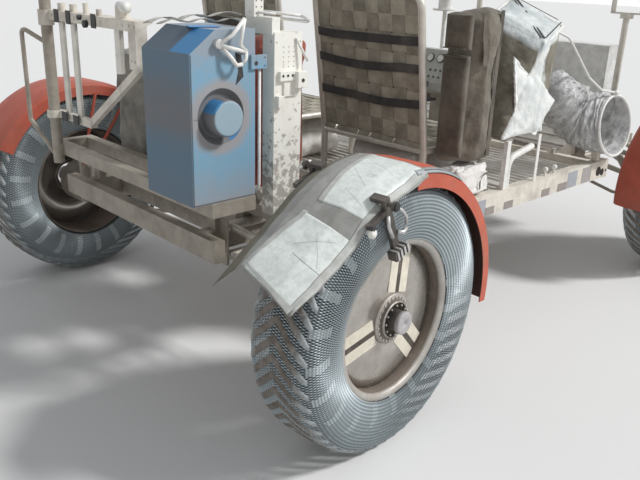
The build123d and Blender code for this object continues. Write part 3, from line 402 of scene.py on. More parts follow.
# Name, colour, roughness, metallic, dust colour, dust amount, and where not usual: drift scale, grain, bump depth
DUSTY_LOOKS = (
    ("inner_hoop", (0.74, 0.79, 0.80), 0.5, 0.1, SOIL, 0.2),
    ("lining", (0.075, 0.09, 0.095), 0.9, 0.0, SOIL, 0.2),
    ("drum_wall", (0.15, 0.12, 0.095), 0.7, 0.0, (0.36, 0.31, 0.265), 0.30, 18, 260, 0.9),
    ("rim_ring", (0.47, 0.445, 0.41), 0.45, 0.3, (0.30, 0.255, 0.215), 0.5, 14, 260, 0.7),
    ("hub_disc", (0.50, 0.47, 0.43), 0.27, 0.75, (0.34, 0.295, 0.25), 0.42, 12),
    ("hub_flange", (0.44, 0.40, 0.36), 0.5, 0.4, (0.20, 0.165, 0.14), 0.5, 26, 260, 0.8),
    # Painted shade: the neck is a dark copy of the cap's grey.
    ("hub_neck", (0.15, 0.135, 0.125), 0.55, 0.2, SOIL, 0.25, 30),
    ("hub_cap", (0.46, 0.44, 0.445), 0.6, 0.1, SOIL, 0.2, 24),
    ("hub_bolt", (0.62, 0.60, 0.56), 0.4, 0.6, SOIL, 0.3),
    ("cream_band", (0.78, 0.72, 0.60), 0.6, 0.0, (0.40, 0.345, 0.29), 0.30, 16),
    ("dark_slot", (0.085, 0.07, 0.06), 0.9, 0.0, SOIL, 0.3, 20),
    ("rail_paint", (0.76, 0.71, 0.62), 0.7, 0.0, (0.38, 0.33, 0.285), 0.5, 11, 260, 0.3),
    # Part painted shade: the frame tubes' tan is made darker than their own colour, as shade.
    ("frame_tube", (0.38, 0.34, 0.285), 0.6, 0.2, (0.20, 0.17, 0.14), 0.5, 12),
    ("floor_sheet", (0.62, 0.60, 0.56), 0.5, 0.35, (0.36, 0.31, 0.27), 0.55, 8),
    ("arm_metal", (0.55, 0.51, 0.45), 0.5, 0.4, (0.30, 0.26, 0.22), 0.6, 12),
    ("seat_tube", (0.66, 0.63, 0.56), 0.45, 0.35, SOIL, 0.3, 10),
    ("fender_strip", (0.40, 0.43, 0.44), 0.6, 0.1, SOIL, 0.4, 14),
    ("chart_paper", (0.82, 0.87, 0.83), 0.42, 0.0, (0.40, 0.43, 0.41), 0.36, 30, 120, 0.25),
    ("grey_tape", (0.36, 0.36, 0.34), 0.6, 0.0, (0.23, 0.21, 0.19), 0.5, 16, 150, 0.35),
    ("edge_tape", (0.52, 0.53, 0.50), 0.55, 0.0, (0.33, 0.31, 0.28), 0.45, 18, 150, 0.35),
    ("olive_fold", (0.155, 0.145, 0.11), 0.7, 0.0, (0.24, 0.22, 0.18), 0.4, 14, 150, 0.4),
    ("pencil_line", (0.42, 0.45, 0.43), 0.7, 0.0, SOIL, 0.2),
    ("clamp_dark", (0.10, 0.09, 0.08), 0.55, 0.5, (0.22, 0.19, 0.17), 0.5, 30),
    ("clamp_light", (0.60, 0.60, 0.58), 0.4, 0.5, (0.30, 0.27, 0.24), 0.4, 30),
    ("clamp_white", (0.86, 0.84, 0.78), 0.5, 0.0, SOIL, 0.2, 30),
    ("black_part", (0.03, 0.03, 0.03), 0.6, 0.0, (0.14, 0.12, 0.11), 0.35, 25),
    ("lens_glass", (0.02, 0.025, 0.05), 0.08, 0.0, SOIL, 0.05),
    ("white_fitting", (0.86, 0.85, 0.81), 0.45, 0.0, (0.50, 0.46, 0.42), 0.30, 20),
    ("rivet", (0.60, 0.58, 0.53), 0.5, 0.3, SOIL, 0.3),
    ("bolt_metal", (0.62, 0.60, 0.55), 0.4, 0.6, SOIL, 0.4),
    ("seam_dark", (0.10, 0.10, 0.11), 0.8, 0.0, SOIL, 0.3),
    ("bright_blue", (0.10, 0.30, 0.62), 0.5, 0.0, SOIL, 0.25, 20),
    ("console_grey", (0.50, 0.50, 0.47), 0.6, 0.0, SOIL, 0.4),
    ("dial_face", (0.80, 0.80, 0.76), 0.4, 0.0, SOIL, 0.15),
    ("patch_grey", (0.33, 0.29, 0.27), 0.8, 0.0, SOIL, 0.3, 30),
    ("patch_blue", (0.40, 0.42, 0.45), 0.7, 0.0, SOIL, 0.3, 30),
    ("patch_lens", (0.42, 0.39, 0.38), 0.7, 0.0, SOIL, 0.4, 30),
    ("gilt_rib", (0.72, 0.58, 0.28), 0.35, 0.9, SOIL, 0.1),
)
# Name, colour, its dark, crease scale, threads, bump depth, and where not usual: sheen, roughness
CLOTH_LOOKS = (
    ("khaki_cloth", (0.235, 0.21, 0.165), (0.11, 0.095, 0.072), 11, 700, 0.7),
    ("khaki_dark", (0.155, 0.13, 0.098), (0.07, 0.058, 0.044), 14, 700, 0.8),
    ("gear_cloth", (0.30, 0.285, 0.25), (0.12, 0.11, 0.095), 12, 700, 0.6),
    ("red_cloth", (0.50, 0.10, 0.055), (0.20, 0.04, 0.025), 12, 800, 0.6),
    ("white_cloth_dusty", (0.88, 0.87, 0.84), (0.66, 0.64, 0.60), 9, 700, 0.7),
    ("foil_cloth", (0.66, 0.66, 0.65), (0.34, 0.34, 0.335), 26, 500, 0.9, 0.05, 0.42),
    ("seat_webbing", (0.47, 0.435, 0.345), (0.30, 0.27, 0.205), 16, 1400, 0.5),
    ("seat_webbing_dark", (0.36, 0.335, 0.26), (0.20, 0.18, 0.135), 18, 1400, 0.5),
    ("seat_liner", (0.10, 0.09, 0.07), (0.05, 0.045, 0.035), 20, 1400, 0.3),
    ("dark_strap", (0.045, 0.042, 0.038), (0.02, 0.019, 0.017), 20, 1600, 0.4),
    ("pale_strap", (0.72, 0.70, 0.62), (0.42, 0.40, 0.35), 30, 1600, 0.5),
    ("insulation", (0.84, 0.84, 0.82), (0.66, 0.66, 0.64), 22, 400, 0.9, 0.05, 0.5),
)
# The CAD nodes that keep their own mesh, by look
NODE_LOOKS = {
    "rail_paint": ("center_frame", "tool_gate"),
    "floor_sheet": ("floor_panels", "footrests"),
    "frame_tube": ("front_frame", "rear_frame", "steering_gear", "console_stand", "pallet_frame"),
    "arm_metal": ("suspension_front", "suspension_rear", *["knuckle_" + name for name in CORNERS]),
    "seat_tube": ("seat_frames", "camera_staff", "camera_yoke", "antenna_mast", "antenna_yoke"),
    "white_fitting": ("bag_supports", "bag_stay", "handholds", "low_gain_antenna"),
    "console_grey": ("control_console",),
    "black_part": ("hand_controller",),
    "insulation": ("batteries", "drive_electronics", "relay_unit", "tv_camera"),
    "gilt_cloth": ("antenna_dish",),
    "post_white": ("equipment_post",),
    "box_blue": ("instrument_box",),
    "bolt_metal": ("tool_bundle",),
    "clamp_dark": ("fender_clamps",),
    # The three far fenders take a darker copy of the red, as painted shade.
    "fender_red_painted_shade": ("fender_front_right", "fender_front_left", "fender_rear_left"),
    "fender_red": ("fender_rear_right",),
}
LOOKS = {}


def make_looks():
    """Makes every material and paints the CAD nodes that show."""
    # By the given names, since Blender renames a material where the CAD file has one of that name
    LOOKS.update({row[0]: dusty(*row) for row in DUSTY_LOOKS})
    LOOKS.update({row[0]: cloth(*row) for row in CLOTH_LOOKS})
    LOOKS.update({
        "wire": wire_look(), "tread_strip": tread_look(), "box_blue": box_paint(),
        "tent_cloth": tent_cloth(), "post_white": post_paint(), "gilt_cloth": gilt_mesh(),
        "fender_red": fender_paint("fender_red", (0.54, 0.105, 0.055), (0.36, 0.17, 0.12)),
        # A darker copy of the fender red, as painted shade.
        "fender_red_painted_shade": fender_paint("fender_red_painted_shade", (0.44, 0.085, 0.048), (0.26, 0.13, 0.095)),
    })
    for look, nodes in NODE_LOOKS.items():
        for node in nodes:
            materials = nodes_cad[node].data.materials
            materials.clear()
            materials.append(LOOKS[look])


# Mesh building: a mesh is a pair of points and faces


def piece(name, mesh, look, body="chassis", matrix=None, smooth=True):
    """A piece of one look that rides on a body. A matrix that mirrors also turns the faces over."""
    points = np.asarray(mesh[0], float)
    faces = [tuple(face) for face in mesh[1]]
    if matrix is not None:
        points = points @ np.array(matrix.to_3x3()).T + np.array(matrix.translation)
        if matrix.determinant() < 0:
            faces = [face[::-1] for face in faces]
    data = bpy.data.meshes.new(name)
    data.from_pydata(points.tolist(), [], faces)
    data.update()
    data.materials.append(LOOKS[look])
    if smooth:
        data.shade_smooth()
    obj = bpy.data.objects.new(name, data)
    bpy.context.scene.collection.objects.link(obj)
    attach(obj, body)
    return obj


def grid_faces(rows, columns, close_rows=False, close_columns=False):
    """Quads over a grid of points stored row by row."""
    faces = []
    for r in range(rows if close_rows else rows - 1):
        for c in range(columns if close_columns else columns - 1):
            r2 = (r + 1) % rows
            c2 = (c + 1) % columns
            faces.append((r * columns + c, r * columns + c2, r2 * columns + c2, r2 * columns + c))
    return faces


def wheel_point(axial, radius, angle):
    """A point in the wheel's own frame: x along the axle, angle from the vehicle's middle over the top."""
    return (axial, radius * cos(angle), radius * sin(angle))


def turned(outline, steps, start=0.0, arc=360.0, closed=True):
    """Turns an (axial, radius) outline about the axle, with flat ends where it doesn't go all round."""
    full = arc >= 360
    turns = [radians(start + arc * k / steps) for k in range(steps if full else steps + 1)]
    points = [wheel_point(a, r, t) for t in turns for a, r in outline]
    faces = grid_faces(len(turns), len(outline), full, closed)
    if not full:
        last = (len(turns) - 1) * len(outline)
        faces.append(tuple(range(len(outline))))
        faces.append(tuple(last + k for k in reversed(range(len(outline)))))
    return points, faces


def tube_mesh(path, radius, sides=10, closed=False):
    """A round tube along a path."""
    path = [Vector(p) for p in path]
    count = len(path)
    points = []
    side = None
    for k, here in enumerate(path):
        before = path[k - 1] if (k or closed) else here
        after = path[(k + 1) % count] if (k < count - 1 or closed) else here
        along = (after - before).normalized()
        if side is None:
            side = along.orthogonal().normalized()
        side = (side - along * side.dot(along)).normalized()
        other = along.cross(side)
        for s in range(sides):
            turn = 2 * pi * s / sides
            points.append(tuple(here + (side * cos(turn) + other * sin(turn)) * radius))
    faces = grid_faces(count, sides, closed, True)
    if not closed:
        faces.append(tuple(reversed(range(sides))))
        faces.append(tuple((count - 1) * sides + s for s in range(sides)))
    return points, faces


def joined(parts):
    """Several meshes as one."""
    points = []
    faces = []
    for some_points, some_faces in parts:
        base = len(points)
        points.extend(some_points)
        faces.extend(tuple(base + i for i in face) for face in some_faces)
    return points, faces


def tubes(name, runs, look, body="chassis", matrix=None):
    """One piece of several tubes, each a path and a radius."""
    return piece(name, joined([tube_mesh(path, radius) for path, radius in runs]), look, body, matrix)


def plate(corners, thickness):
    """A flat polygon with thickness."""
    corners = [Vector(c) for c in corners]
    normal = (corners[1] - corners[0]).cross(corners[2] - corners[0]).normalized() * thickness
    count = len(corners)
    points = [tuple(c) for c in corners] + [tuple(c + normal) for c in corners]
    faces = [tuple(reversed(range(count))), tuple(count + k for k in range(count))]
    faces += [(k, (k + 1) % count, count + (k + 1) % count, count + k) for k in range(count)]
    return points, faces


def boxes(*limits):
    """Boxes from their six limits."""
    return [
        plate([(x0, y0, z0), (x1, y0, z0), (x1, y1, z0), (x0, y1, z0)], z1 - z0)
        for x0, x1, y0, y1, z0, z1 in limits
    ]


def discs(spots, radius, thickness, sides=20, normal=ACROSS):
    """Like round discs that rise from their spots along the normal."""
    rise = Vector(normal).normalized() * thickness
    return [tube_mesh([Vector(spot), Vector(spot) + rise], radius, sides) for spot in spots]


def ribbon(path, normals, side, width, thickness):
    """A flat band along a path, its face normals given point by point."""
    side = Vector(side).normalized() * (width / 2)
    points = []
    for here, normal in zip(path, normals):
        here = Vector(here)
        lift = Vector(normal).normalized() * (thickness / 2)
        points += [here - side - lift, here + side - lift, here + side + lift, here - side + lift]
    last = (len(path) - 1) * 4
    faces = grid_faces(len(path), 4, False, True)
    faces += [(3, 2, 1, 0), (last, last + 1, last + 2, last + 3)]
    return [tuple(p) for p in points], faces


def slab(points, rows, columns):
    """A closed thin sheet from two layers of grid points."""
    count = rows * columns
    faces = [face[::-1] for face in grid_faces(rows, columns)]
    faces += [tuple(count + k for k in face) for face in grid_faces(rows, columns)]
    ring = list(range(columns))
    ring += [r * columns + columns - 1 for r in range(1, rows)]
    ring += [(rows - 1) * columns + c for c in reversed(range(columns - 1))]
    ring += [r * columns for r in reversed(range(1, rows - 1))]
    for here, after in zip(ring, ring[1:] + ring[:1]):
        faces.append((here, after, count + after, count + here))
    return points, faces


def fitting(name, parts, look, body="chassis", matrix=None, width=0.0, smooth=False):
    """One piece of several meshes, with rounded edges where a width is given."""
    obj = piece(name, joined(parts), look, body, matrix, smooth)
    if width:
        edge = obj.modifiers.new("edge", "BEVEL")
        edge.width = width
        edge.segments = 2
        edge.limit_method = "ANGLE"
        edge.angle_limit = radians(40)
    return obj


def corner_matrix(side, end):
    """From a wheel's own frame to the row frame, as part.py places its corners."""
    kingpin = Matrix.Translation((side * (TRACK / 2 - KINGPIN_OFFSET), end * WHEELBASE / 2, 0))
    turn = Matrix.Rotation(radians(-end * REST_STEER), 4, "Z")
    mirror = Matrix.Diagonal((side, -end, 1, 1))
    return kingpin @ turn @ mirror @ Matrix.Translation((KINGPIN_OFFSET, 0, AXLE_HEIGHT))


# Wheels. The tyre's tables are (axial, radius) in mm, the hub's in metres.

TYRE_OUTLINE = (
    (94, 240), (103, 262), (112, 294), (115.5, 330), (112, 366), (100, 389), (82, 400), (54, 405), (0, 406),
)
TYRE_LINING = ((58, 238), (62, 300), (60, 345), (46, 374), (0, 385))
HOOP_PROFILE = ((66, 262), (76, 276), (80, 300), (79, 320), (73, 338), (62, 352))
HOOPS = 20
CHEVRONS = 50
CHEVRON_PHASE = 6.2
CHEVRON_SLOPE = 0.13
CHEVRON_SECTION = ((-13.0, 0.4), (-12.2, 2.4), (0.0, 3.0), (12.2, 2.4), (13.0, 0.4))
TREAD_PITCH = 7.0
TREAD_LOW = 384
SHOULDER = 398
WIRES = 620
ROW_PITCH = 10.0
WIRE_SWING = 0.44
WIRE_LIFT = 0.7
WIRE_SECTION = ((-0.98, -0.6), (0.0, 1.1), (0.98, -0.6))
# Piece, look, steps round and outline
HUB_RINGS = (
    ("drum", "drum_wall", 96, (
        (0.080, 0.2235), (0.082, 0.232), (0.060, 0.232), (-0.090, 0.236), (-0.090, 0.233), (0.048, 0.2205),
    )),
    ("rim", "rim_ring", 120, (
        (0.072, 0.224), (0.082, 0.2225), (0.0875, 0.226), (0.0905, 0.234), (0.0925, 0.242), (0.088, 0.247),
        (0.080, 0.243),
    )),
    ("disc", "hub_disc", 96, (
        (0.047, 0.222), (0.053, 0.190), (0.060, 0.130), (0.067, 0.074), (0.062, 0.068), (0.042, 0.222),
    )),
    ("flange", "hub_flange", 60, (
        (0.058, 0.076), (0.070, 0.076), (0.0725, 0.073), (0.0725, 0.058), (0.083, 0.055), (0.0845, 0.052),
    )),
    # The neck's dark look is painted shade.
    ("neck", "hub_neck", 48, (
        (0.070, 0.0325), (0.100, 0.0315), (0.104, 0.0345), (0.104, 0.0005), (0.070, 0.0005),
    )),
    ("cap", "hub_cap", 48, (
        (0.1042, 0.0345), (0.1135, 0.0342), (0.1165, 0.0325), (0.1172, 0.029), (0.1172, 0.0005),
        (0.1042, 0.0005),
    )),
)
# Count, first angle, axial place, ring radius, bolt radius and height
HUB_BOLTS = ((24, 7.5, 0.0715, 0.0665, 0.0036, 0.004), (12, 0, 0.0835, 0.0455, 0.0032, 0.0035))
# Shift, half width, lift and whether it is a dark slot
DISC_BANDS = ((-0.0265, 0.0175, 0.0015, False), (0.0265, 0.0175, 0.0015, False), (0, 0.009, 0.001, True))


def tyre_rows(pitch):
    """Points (axial, radius) and outward normals in mm at equal steps over the tyre's section, rim to rim."""
    half = np.array(TYRE_OUTLINE, float)
    whole = np.vstack([half, (half * (-1, 1))[-2::-1]])
    steps = np.r_[0, np.cumsum(np.hypot(*np.diff(whole, axis=0).T))]
    fine = np.linspace(0, steps[-1], 600)
    curve = np.column_stack([np.interp(fine, steps, whole[:, k]) for k in (0, 1)])
    kernel = np.hanning(61) / np.hanning(61).sum()
    padded = np.vstack([curve[:1]] * 30 + [curve] + [curve[-1:]] * 30)
    smooth = np.column_stack([np.convolve(padded[:, k], kernel, "valid") for k in (0, 1)])
    run = np.r_[0, np.cumsum(np.hypot(*np.diff(smooth, axis=0).T))]
    at = np.linspace(0, run[-1], int(round(run[-1] / pitch)) + 1)
    rows = np.column_stack([np.interp(at, run, smooth[:, k]) for k in (0, 1)])
    along = np.gradient(rows, axis=0)
    along /= np.linalg.norm(along, axis=1)[:, None]
    return rows, np.column_stack([along[:, 1], -along[:, 0]])


def wire_mesh():
    """Woven wires from rim to rim in zigzags that meet their neighbours in turn, and each point's row for a UV map."""
    rows, outward = tyre_rows(ROW_PITCH)
    count = len(rows)
    sign = np.where((np.arange(WIRES)[:, None] + np.arange(count)[None, :]) % 2 == 0, 1.0, -1.0)
    angle = (np.arange(WIRES)[:, None] + WIRE_SWING * sign) * 2 * pi / WIRES
    points = []
    for across, out in WIRE_SECTION:
        a = rows[None, :, 0] + outward[None, :, 0] * (WIRE_LIFT * sign + out)
        r = rows[None, :, 1] + outward[None, :, 1] * (WIRE_LIFT * sign + out)
        t = angle + across / r
        points.append(np.stack([a, r * np.cos(t), r * np.sin(t)], axis=-1))
    points = (np.stack(points, axis=2) * MM).reshape(-1, 3)
    faces = []
    for wire in range(WIRES):
        for ring in range(wire * count * 3, (wire * count + count - 1) * 3, 3):
            faces.append((ring, ring + 1, ring + 4, ring + 3))
            faces.append((ring + 1, ring + 2, ring + 5, ring + 4))
    number = np.arange(len(points))
    return (points, faces), np.column_stack([number // 3 % count, number % 3])


def tread_mesh():
    """V-shaped strips riveted over the mesh, apex forward over the top, ends wrapped over the shoulder."""
    rows, outward = tyre_rows(TREAD_PITCH)
    keep = [k for k in range(len(rows)) if rows[k, 1] > TREAD_LOW]
    spread = np.array([abs(rows[k, 0]) + max(0.0, SHOULDER - rows[k, 1]) * 0.5 for k in keep])
    lead = CHEVRON_SLOPE * np.minimum(spread, 112)
    points = []
    faces = []
    for n in range(CHEVRONS):
        base = len(points)
        apex = CHEVRON_PHASE + n * 360 / CHEVRONS
        for k, ahead in zip(keep, lead):
            narrow = min(1.0, 0.55 + min(k - keep[0], keep[-1] - k) * 0.2)
            for across, rise in CHEVRON_SECTION:
                r = rows[k, 1] + outward[k, 1] * rise
                a = rows[k, 0] + outward[k, 0] * rise
                t = radians(apex + ahead) + across * narrow / r
                points.append((a * MM, r * cos(t) * MM, r * sin(t) * MM))
        faces += [tuple(base + i for i in face) for face in grid_faces(len(keep), len(CHEVRON_SECTION))]
    return points, faces


def hoop_meshes():
    """Pale inner hoops between lining and mesh, seen through the wires of both flanks."""
    parts = []
    for flank in (1, -1):
        for n in range(HOOPS):
            middle = 2 * pi * (n + 0.35) / HOOPS
            points = [
                wheel_point(flank * (x + bow) * MM, r * MM, middle + across / r)
                for x, r in HOOP_PROFILE
                for across, bow in ((-13, 0.0), (0, 1.5), (13, 0.0))
            ]
            parts.append((points, grid_faces(len(HOOP_PROFILE), 3)))
    return parts


def uv_layer(mesh, name, values):
    """A UV map from two values a point."""
    corners = np.empty(len(mesh.loops), int)
    mesh.loops.foreach_get("vertex_index", corners)
    layer = mesh.uv_layers.new(name=name)
    layer.data.foreach_set("uv", np.asarray(values, float)[corners].ravel())


def build_hub(name, matrix, body):
    """Drum, dished disc, flange, neck and cap, with their bolts and the disc's paired bands."""
    for part, look, steps, outline in HUB_RINGS:
        piece(part + "_" + name, turned(outline, steps), look, body, matrix)
    bolts = []
    for count, first, axial, reach, radius, height in HUB_BOLTS:
        spots = [wheel_point(axial, reach, radians(first + 360 / count * n)) for n in range(count)]
        bolts += discs(spots, radius, height, 6)
    fitting("hub_bolts_" + name, bolts, "hub_bolt", body, matrix)
    bands = []
    slots = []
    for middle in (75, 195, 315):
        out = Vector(wheel_point(0, 1, radians(middle)))
        side = Vector(ACROSS).cross(out)
        for shift, half, lift, dark in DISC_BANDS:
            inner = out * 0.078 + side * shift + Vector((0.0655 + lift, 0, 0))
            outer = out * 0.213 + side * shift + Vector((0.0495 + lift, 0, 0))
            edge = side * half
            corners = [inner - edge, inner + edge, outer + edge, outer - edge]
            (slots if dark else bands).append(plate(corners, 0.002))
    fitting("disc_bands_" + name, bands, "cream_band", body, matrix, 0.0006)
    fitting("disc_slots_" + name, slots, "dark_slot", body, matrix)
    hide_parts("hub_" + name)


def build_wheels():
    """All four wheels, each standing for its tyre and hub nodes."""
    wires, wire_rows = wire_mesh()
    tread = tread_mesh()
    tread_places = np.asarray(tread[0])
    flank = np.column_stack([np.abs(tread_places[:, 0]), np.hypot(tread_places[:, 1], tread_places[:, 2])])
    outline = [(x * MM, r * MM) for x, r in TYRE_LINING] + [(-x * MM, r * MM) for x, r in TYRE_LINING[-2::-1]]
    lining = turned(outline, 120, closed=False)
    hoops = joined(hoop_meshes())
    for name, (side, end) in CORNERS.items():
        matrix = corner_matrix(side, end)
        body = "wheel_" + name
        mesh = piece("wire_mesh_" + name, wires, "wire", body, matrix)
        uv_layer(mesh.data, "rows", wire_rows)
        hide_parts("tyre_" + name)
        strips = piece("tread_" + name, tread, "tread_strip", body, matrix)
        uv_layer(strips.data, "flank", flank)
        piece("lining_" + name, lining, "lining", body, matrix)
        piece("inner_hoops_" + name, hoops, "inner_hoop", body, matrix)
        build_hub(name, matrix, body)


# Broken fender, chart sheet and clamps, in the rear right wheel's own frame

BROKEN = corner_matrix(1, -1)
BROKEN_BODY = "knuckle_rear_right"
CHART_CROWN = 450
CHART_FIRST = 85.5
CHART_HALF = 131
CHART_STATIONS = (-131.0, -128.0, -110.0, -60.0, 60.0, 110.0, 128.0, 131.0)
# Angle, lift of the crown and drop at each axial station, in degrees and mm
CHART_SECTIONS = (
    (85.5, 0, (22, 16, 5.4, 0, 0, 5.4, 16, 25)),
    (88.2, 0, (22, 16, 5.4, 0, 0, 5.4, 16, 32)),
    (91, 0, (24, 17, 5.4, 0, 0, 5.4, 18, 42)),
    (97, 0, (26, 18, 8, 0, 4, 22, 40, 50)),
    (104, 0, (26, 18, 8, 0, 8, 28, 46, 53)),
    (112, 0, (27, 20, 10, 0, 12, 28, 40, 45)),
    (120, 0, (28, 21, 10, 0, 14, 32, 44, 50)),
    (130, 1, (29, 22, 11, 0, 18, 42, 57, 62)),
    (140, 16, (30, 23, 12, 0, 18, 42, 56, 61)),
    (150, 48, (30, 23, 12, 0, 16, 36, 49, 53)),
    (158.6, 75, (10, 8, 4, 0, 2, 6, 8, 9)),
)
# Axial place in mm and angle of the sheet's free end
CHART_ENDS = ((-131, 159.5), (-100, 154), (-80, 151.6), (30, 154.9), (131, 158.6))
# Piece, look, lift and thickness in mm, steps, and four corners as axial place in mm and angle
CHART_PATCHES = (
    ("front_panel", "chart_paper", 1.5, 0.6, (30, 40), ((-57, 86.8), (122, 86.8), (119, 121.2), (-11, 121.5))),
    ("rear_panel", "chart_paper", 1.5, 0.6, (30, 40), ((-21, 127.5), (124, 130.0), (116, 157.2), (-71, 151.0))),
    ("fold", "olive_fold", 1.5, 1.2, (30, 40), ((-131, 92), (-95, 88), (-92, 153), (-131, 159.3))),
    ("tape_0", "edge_tape", 2.0, 0.5, (6, 40), ((-60, 85.9), (-44, 85.9), (-1, 121.8), (-19, 121.8))),
    ("tape_1", "edge_tape", 2.0, 0.5, (6, 40), ((-33, 126.9), (-17, 126.9), (-66, 151.2), (-84, 150.9))),
    ("tape_2", "edge_tape", 2.0, 0.5, (6, 40), ((118, 86.2), (130, 86.2), (129.5, 157.9), (112, 157.7))),
    ("tape_3", "edge_tape", 2.0, 0.5, (6, 40), ((-88, 149.2), (-66, 149.6), (121, 156.2), (121, 158.2))),
)
# Faint lines: both ends and the width in mm
CHART_LINES = (
    ((9, 139.0), (95, 133.0), 1.0),
    ((23, 142.0), (113, 145.2), 1.6),
    ((43, 132.5), (101, 144.0), 0.7),
    ((-30, 101), (60, 109), 0.8),
    ((5, 95), (85, 98), 0.6),
    ((20, 113), (96, 117), 0.7),
)
MM_PER_DEGREE = 7.8


def chart_point(axial, angle, lift):
    """A point on the sheet's upper face from its axial place in mm and angle, with the sheet's slight waves."""
    rows = [np.interp(axial, CHART_STATIONS, [CHART_CROWN + s[1] - d for d in s[2]]) for s in CHART_SECTIONS]
    crown = np.interp(angle, [s[0] for s in CHART_SECTIONS], rows)
    wave = noise.noise(Vector((axial * 0.018, angle * 0.16, 3.1))) * 2.2
    ease = min(1.0, max(0.0, (angle - 92) / 10))
    return wheel_point(axial * MM, (crown + 0.6 + max(0.0, wave + 1.2) * ease + lift) * MM, radians(angle))


def chart_patch(name, look, lift, thickness, steps, corners):
    """A four-cornered patch lying on the sheet, a little proud of it."""
    a, b, c, d = [Vector(corner) for corner in corners]
    points = []
    for layer in (lift, lift + thickness):
        for j in range(steps[1] + 1):
            v = j / steps[1]
            for i in range(steps[0] + 1):
                u = i / steps[0]
                spot = (a * (1 - u) + b * u) * (1 - v) + (d * (1 - u) + c * u) * v
                points.append(chart_point(spot[0], spot[1], layer))
    mesh = slab(points, steps[1] + 1, steps[0] + 1)
    return piece("chart_" + name, mesh, look, BROKEN_BODY, BROKEN)


def build_charts():
    """The taped chart sheet: grey tape ground, two pale panels, the folded inboard edge, tapes and faint lines."""
    rows, columns = 90, 64
    points = []
    for layer in (0.0, 1.4):
        for j in range(rows):
            for i in range(columns):
                axial = -CHART_HALF + 2 * CHART_HALF * i / (columns - 1)
                end = float(np.interp(axial, *zip(*CHART_ENDS)))
                angle = CHART_FIRST + (end - CHART_FIRST) * j / (rows - 1)
                points.append(chart_point(axial, angle, layer))
    sheet = piece("chart_sheet", slab(points, rows, columns), "grey_tape", BROKEN_BODY, BROKEN)
    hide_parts("fender_maps")
    tapes = [chart_patch(*row) for row in CHART_PATCHES]
    for n, (start, end, width) in enumerate(CHART_LINES):
        a, b = Vector(start), Vector(end)
        run = Vector(((b - a)[0], (b - a)[1] * MM_PER_DEGREE)).normalized()
        side = Vector((-run[1] * width, run[0] * width / MM_PER_DEGREE)) / 2
        corners = (a - side, b - side, b + side, a + side)
        tapes.append(chart_patch("line_%d" % n, "pencil_line", 2.2, 0.15, (24, 1), corners))


def build_fender_strip():
    """The grey reinforcing strip along the outer shoulder of the broken fender, and its dark line."""
    for name, look, steps, start, arc, outline in (
        ("fender_strip", "fender_strip", 40, 60.5, 30.5, (
            (0.1085, 0.4455), (0.1210, 0.4405), (0.1270, 0.4352), (0.1285, 0.4352), (0.1225, 0.4420), (0.1090, 0.4470),
        )),
        ("fender_strip_line", "seam_dark", 30, 61.5, 25, (
            (0.1195, 0.4424), (0.1225, 0.4404), (0.1230, 0.4420), (0.1200, 0.4440),
        )),
    ):
        piece(name, turned(outline, steps, start, arc), look, BROKEN_BODY, BROKEN)


def build_clamp_details():
    """Grooves, knobs, pale pad and levers on the outboard clamp, and the pale T-screw on the inboard one."""
    outboard, inboard = [BROKEN @ Matrix.Rotation(radians(angle - 90), 4, "X") for angle in (112, 106)]
    grooves = []
    for n in range(4):
        y = -0.021 + n * 0.014
        grooves += boxes((0.1622, 0.1640, y, y + 0.007, 0.2625, 0.2875), (0.1335, 0.1612, y, y + 0.007, 0.2880, 0.2905))
    fitting("clamp_grooves", grooves, "clamp_light", BROKEN_BODY, outboard, 0.0006)
    knobs = discs([(0.1725, 0, 0.423)], 0.0105, 0.005) + discs([(0.146, -0.078, 0.404)], 0.007, 0.012)
    fitting("clamp_knob", knobs, "black_part", BROKEN_BODY, outboard, 0.0008, True)
    pad = tube_mesh([(0.147, -0.082, 0.392), (0.158, -0.082, 0.392)], 0.012, 14)
    piece("clamp_pad", pad, "clamp_white", BROKEN_BODY, outboard)
    levers = (
        (((0.150, 0.022, 0.404), (0.153, 0.040, 0.380), (0.152, 0.052, 0.352), (0.149, 0.050, 0.330)), 0.0045),
        (((0.1495, -0.012, 0.396), (0.152, -0.020, 0.370), (0.150, -0.012, 0.330)), 0.005),
        (((0.1495, 0.012, 0.330), (0.151, 0.030, 0.318), (0.150, 0.046, 0.322)), 0.006),
    )
    tubes("clamp_levers", levers, "clamp_light", BROKEN_BODY, outboard)
    screw = (
        (((-0.172, -0.024, 0.442), (-0.172, 0.024, 0.442)), 0.005),
        (((-0.186, 0, 0.442), (-0.160, 0, 0.442)), 0.004),
    )
    tubes("clamp_screw", screw, "clamp_white", BROKEN_BODY, inboard)


# Soft goods

CLOTH_FRAMES = 20
# Look, voxel, farthest move, pressure, shrink, fold depth and size, and slot of each node that cloth fills
SOFT_NODES = {
    "white_bag": ("tent_cloth", 0.007, 0.008, 3.0, 0.004, 0.0045, 0.07, "white_cloth"),
    "seat_side_bag": ("khaki_cloth", 0.008, 0.012, 4.0, 0.010, 0.008, 0.11, "bag"),
    "under_seat_bags": ("white_cloth_dusty", 0.014, 0.012, 4.0, 0.010, 0.014, 0.10, "bag"),
    "pallet_bags": ("gear_cloth", 0.012, 0.012, 4.0, 0.010, 0.007, 0.10, "bag"),
    "red_bag": ("red_cloth", 0.008, 0.012, 4.0, 0.010, 0.008, 0.09, "red_cloth"),
}


def keep_evaluated(obj):
    """Applies the object's modifiers to its mesh."""
    graph = bpy.context.evaluated_depsgraph_get()
    mesh = bpy.data.meshes.new_from_object(obj.evaluated_get(graph))
    obj.modifiers.clear()
    obj.data = mesh


def vertex_values(mesh, name):
    """A vector a vertex, as an array."""
    values = np.empty(len(mesh.vertices) * 3)
    mesh.vertices.foreach_get(name, values)
    return values.reshape(-1, 3)


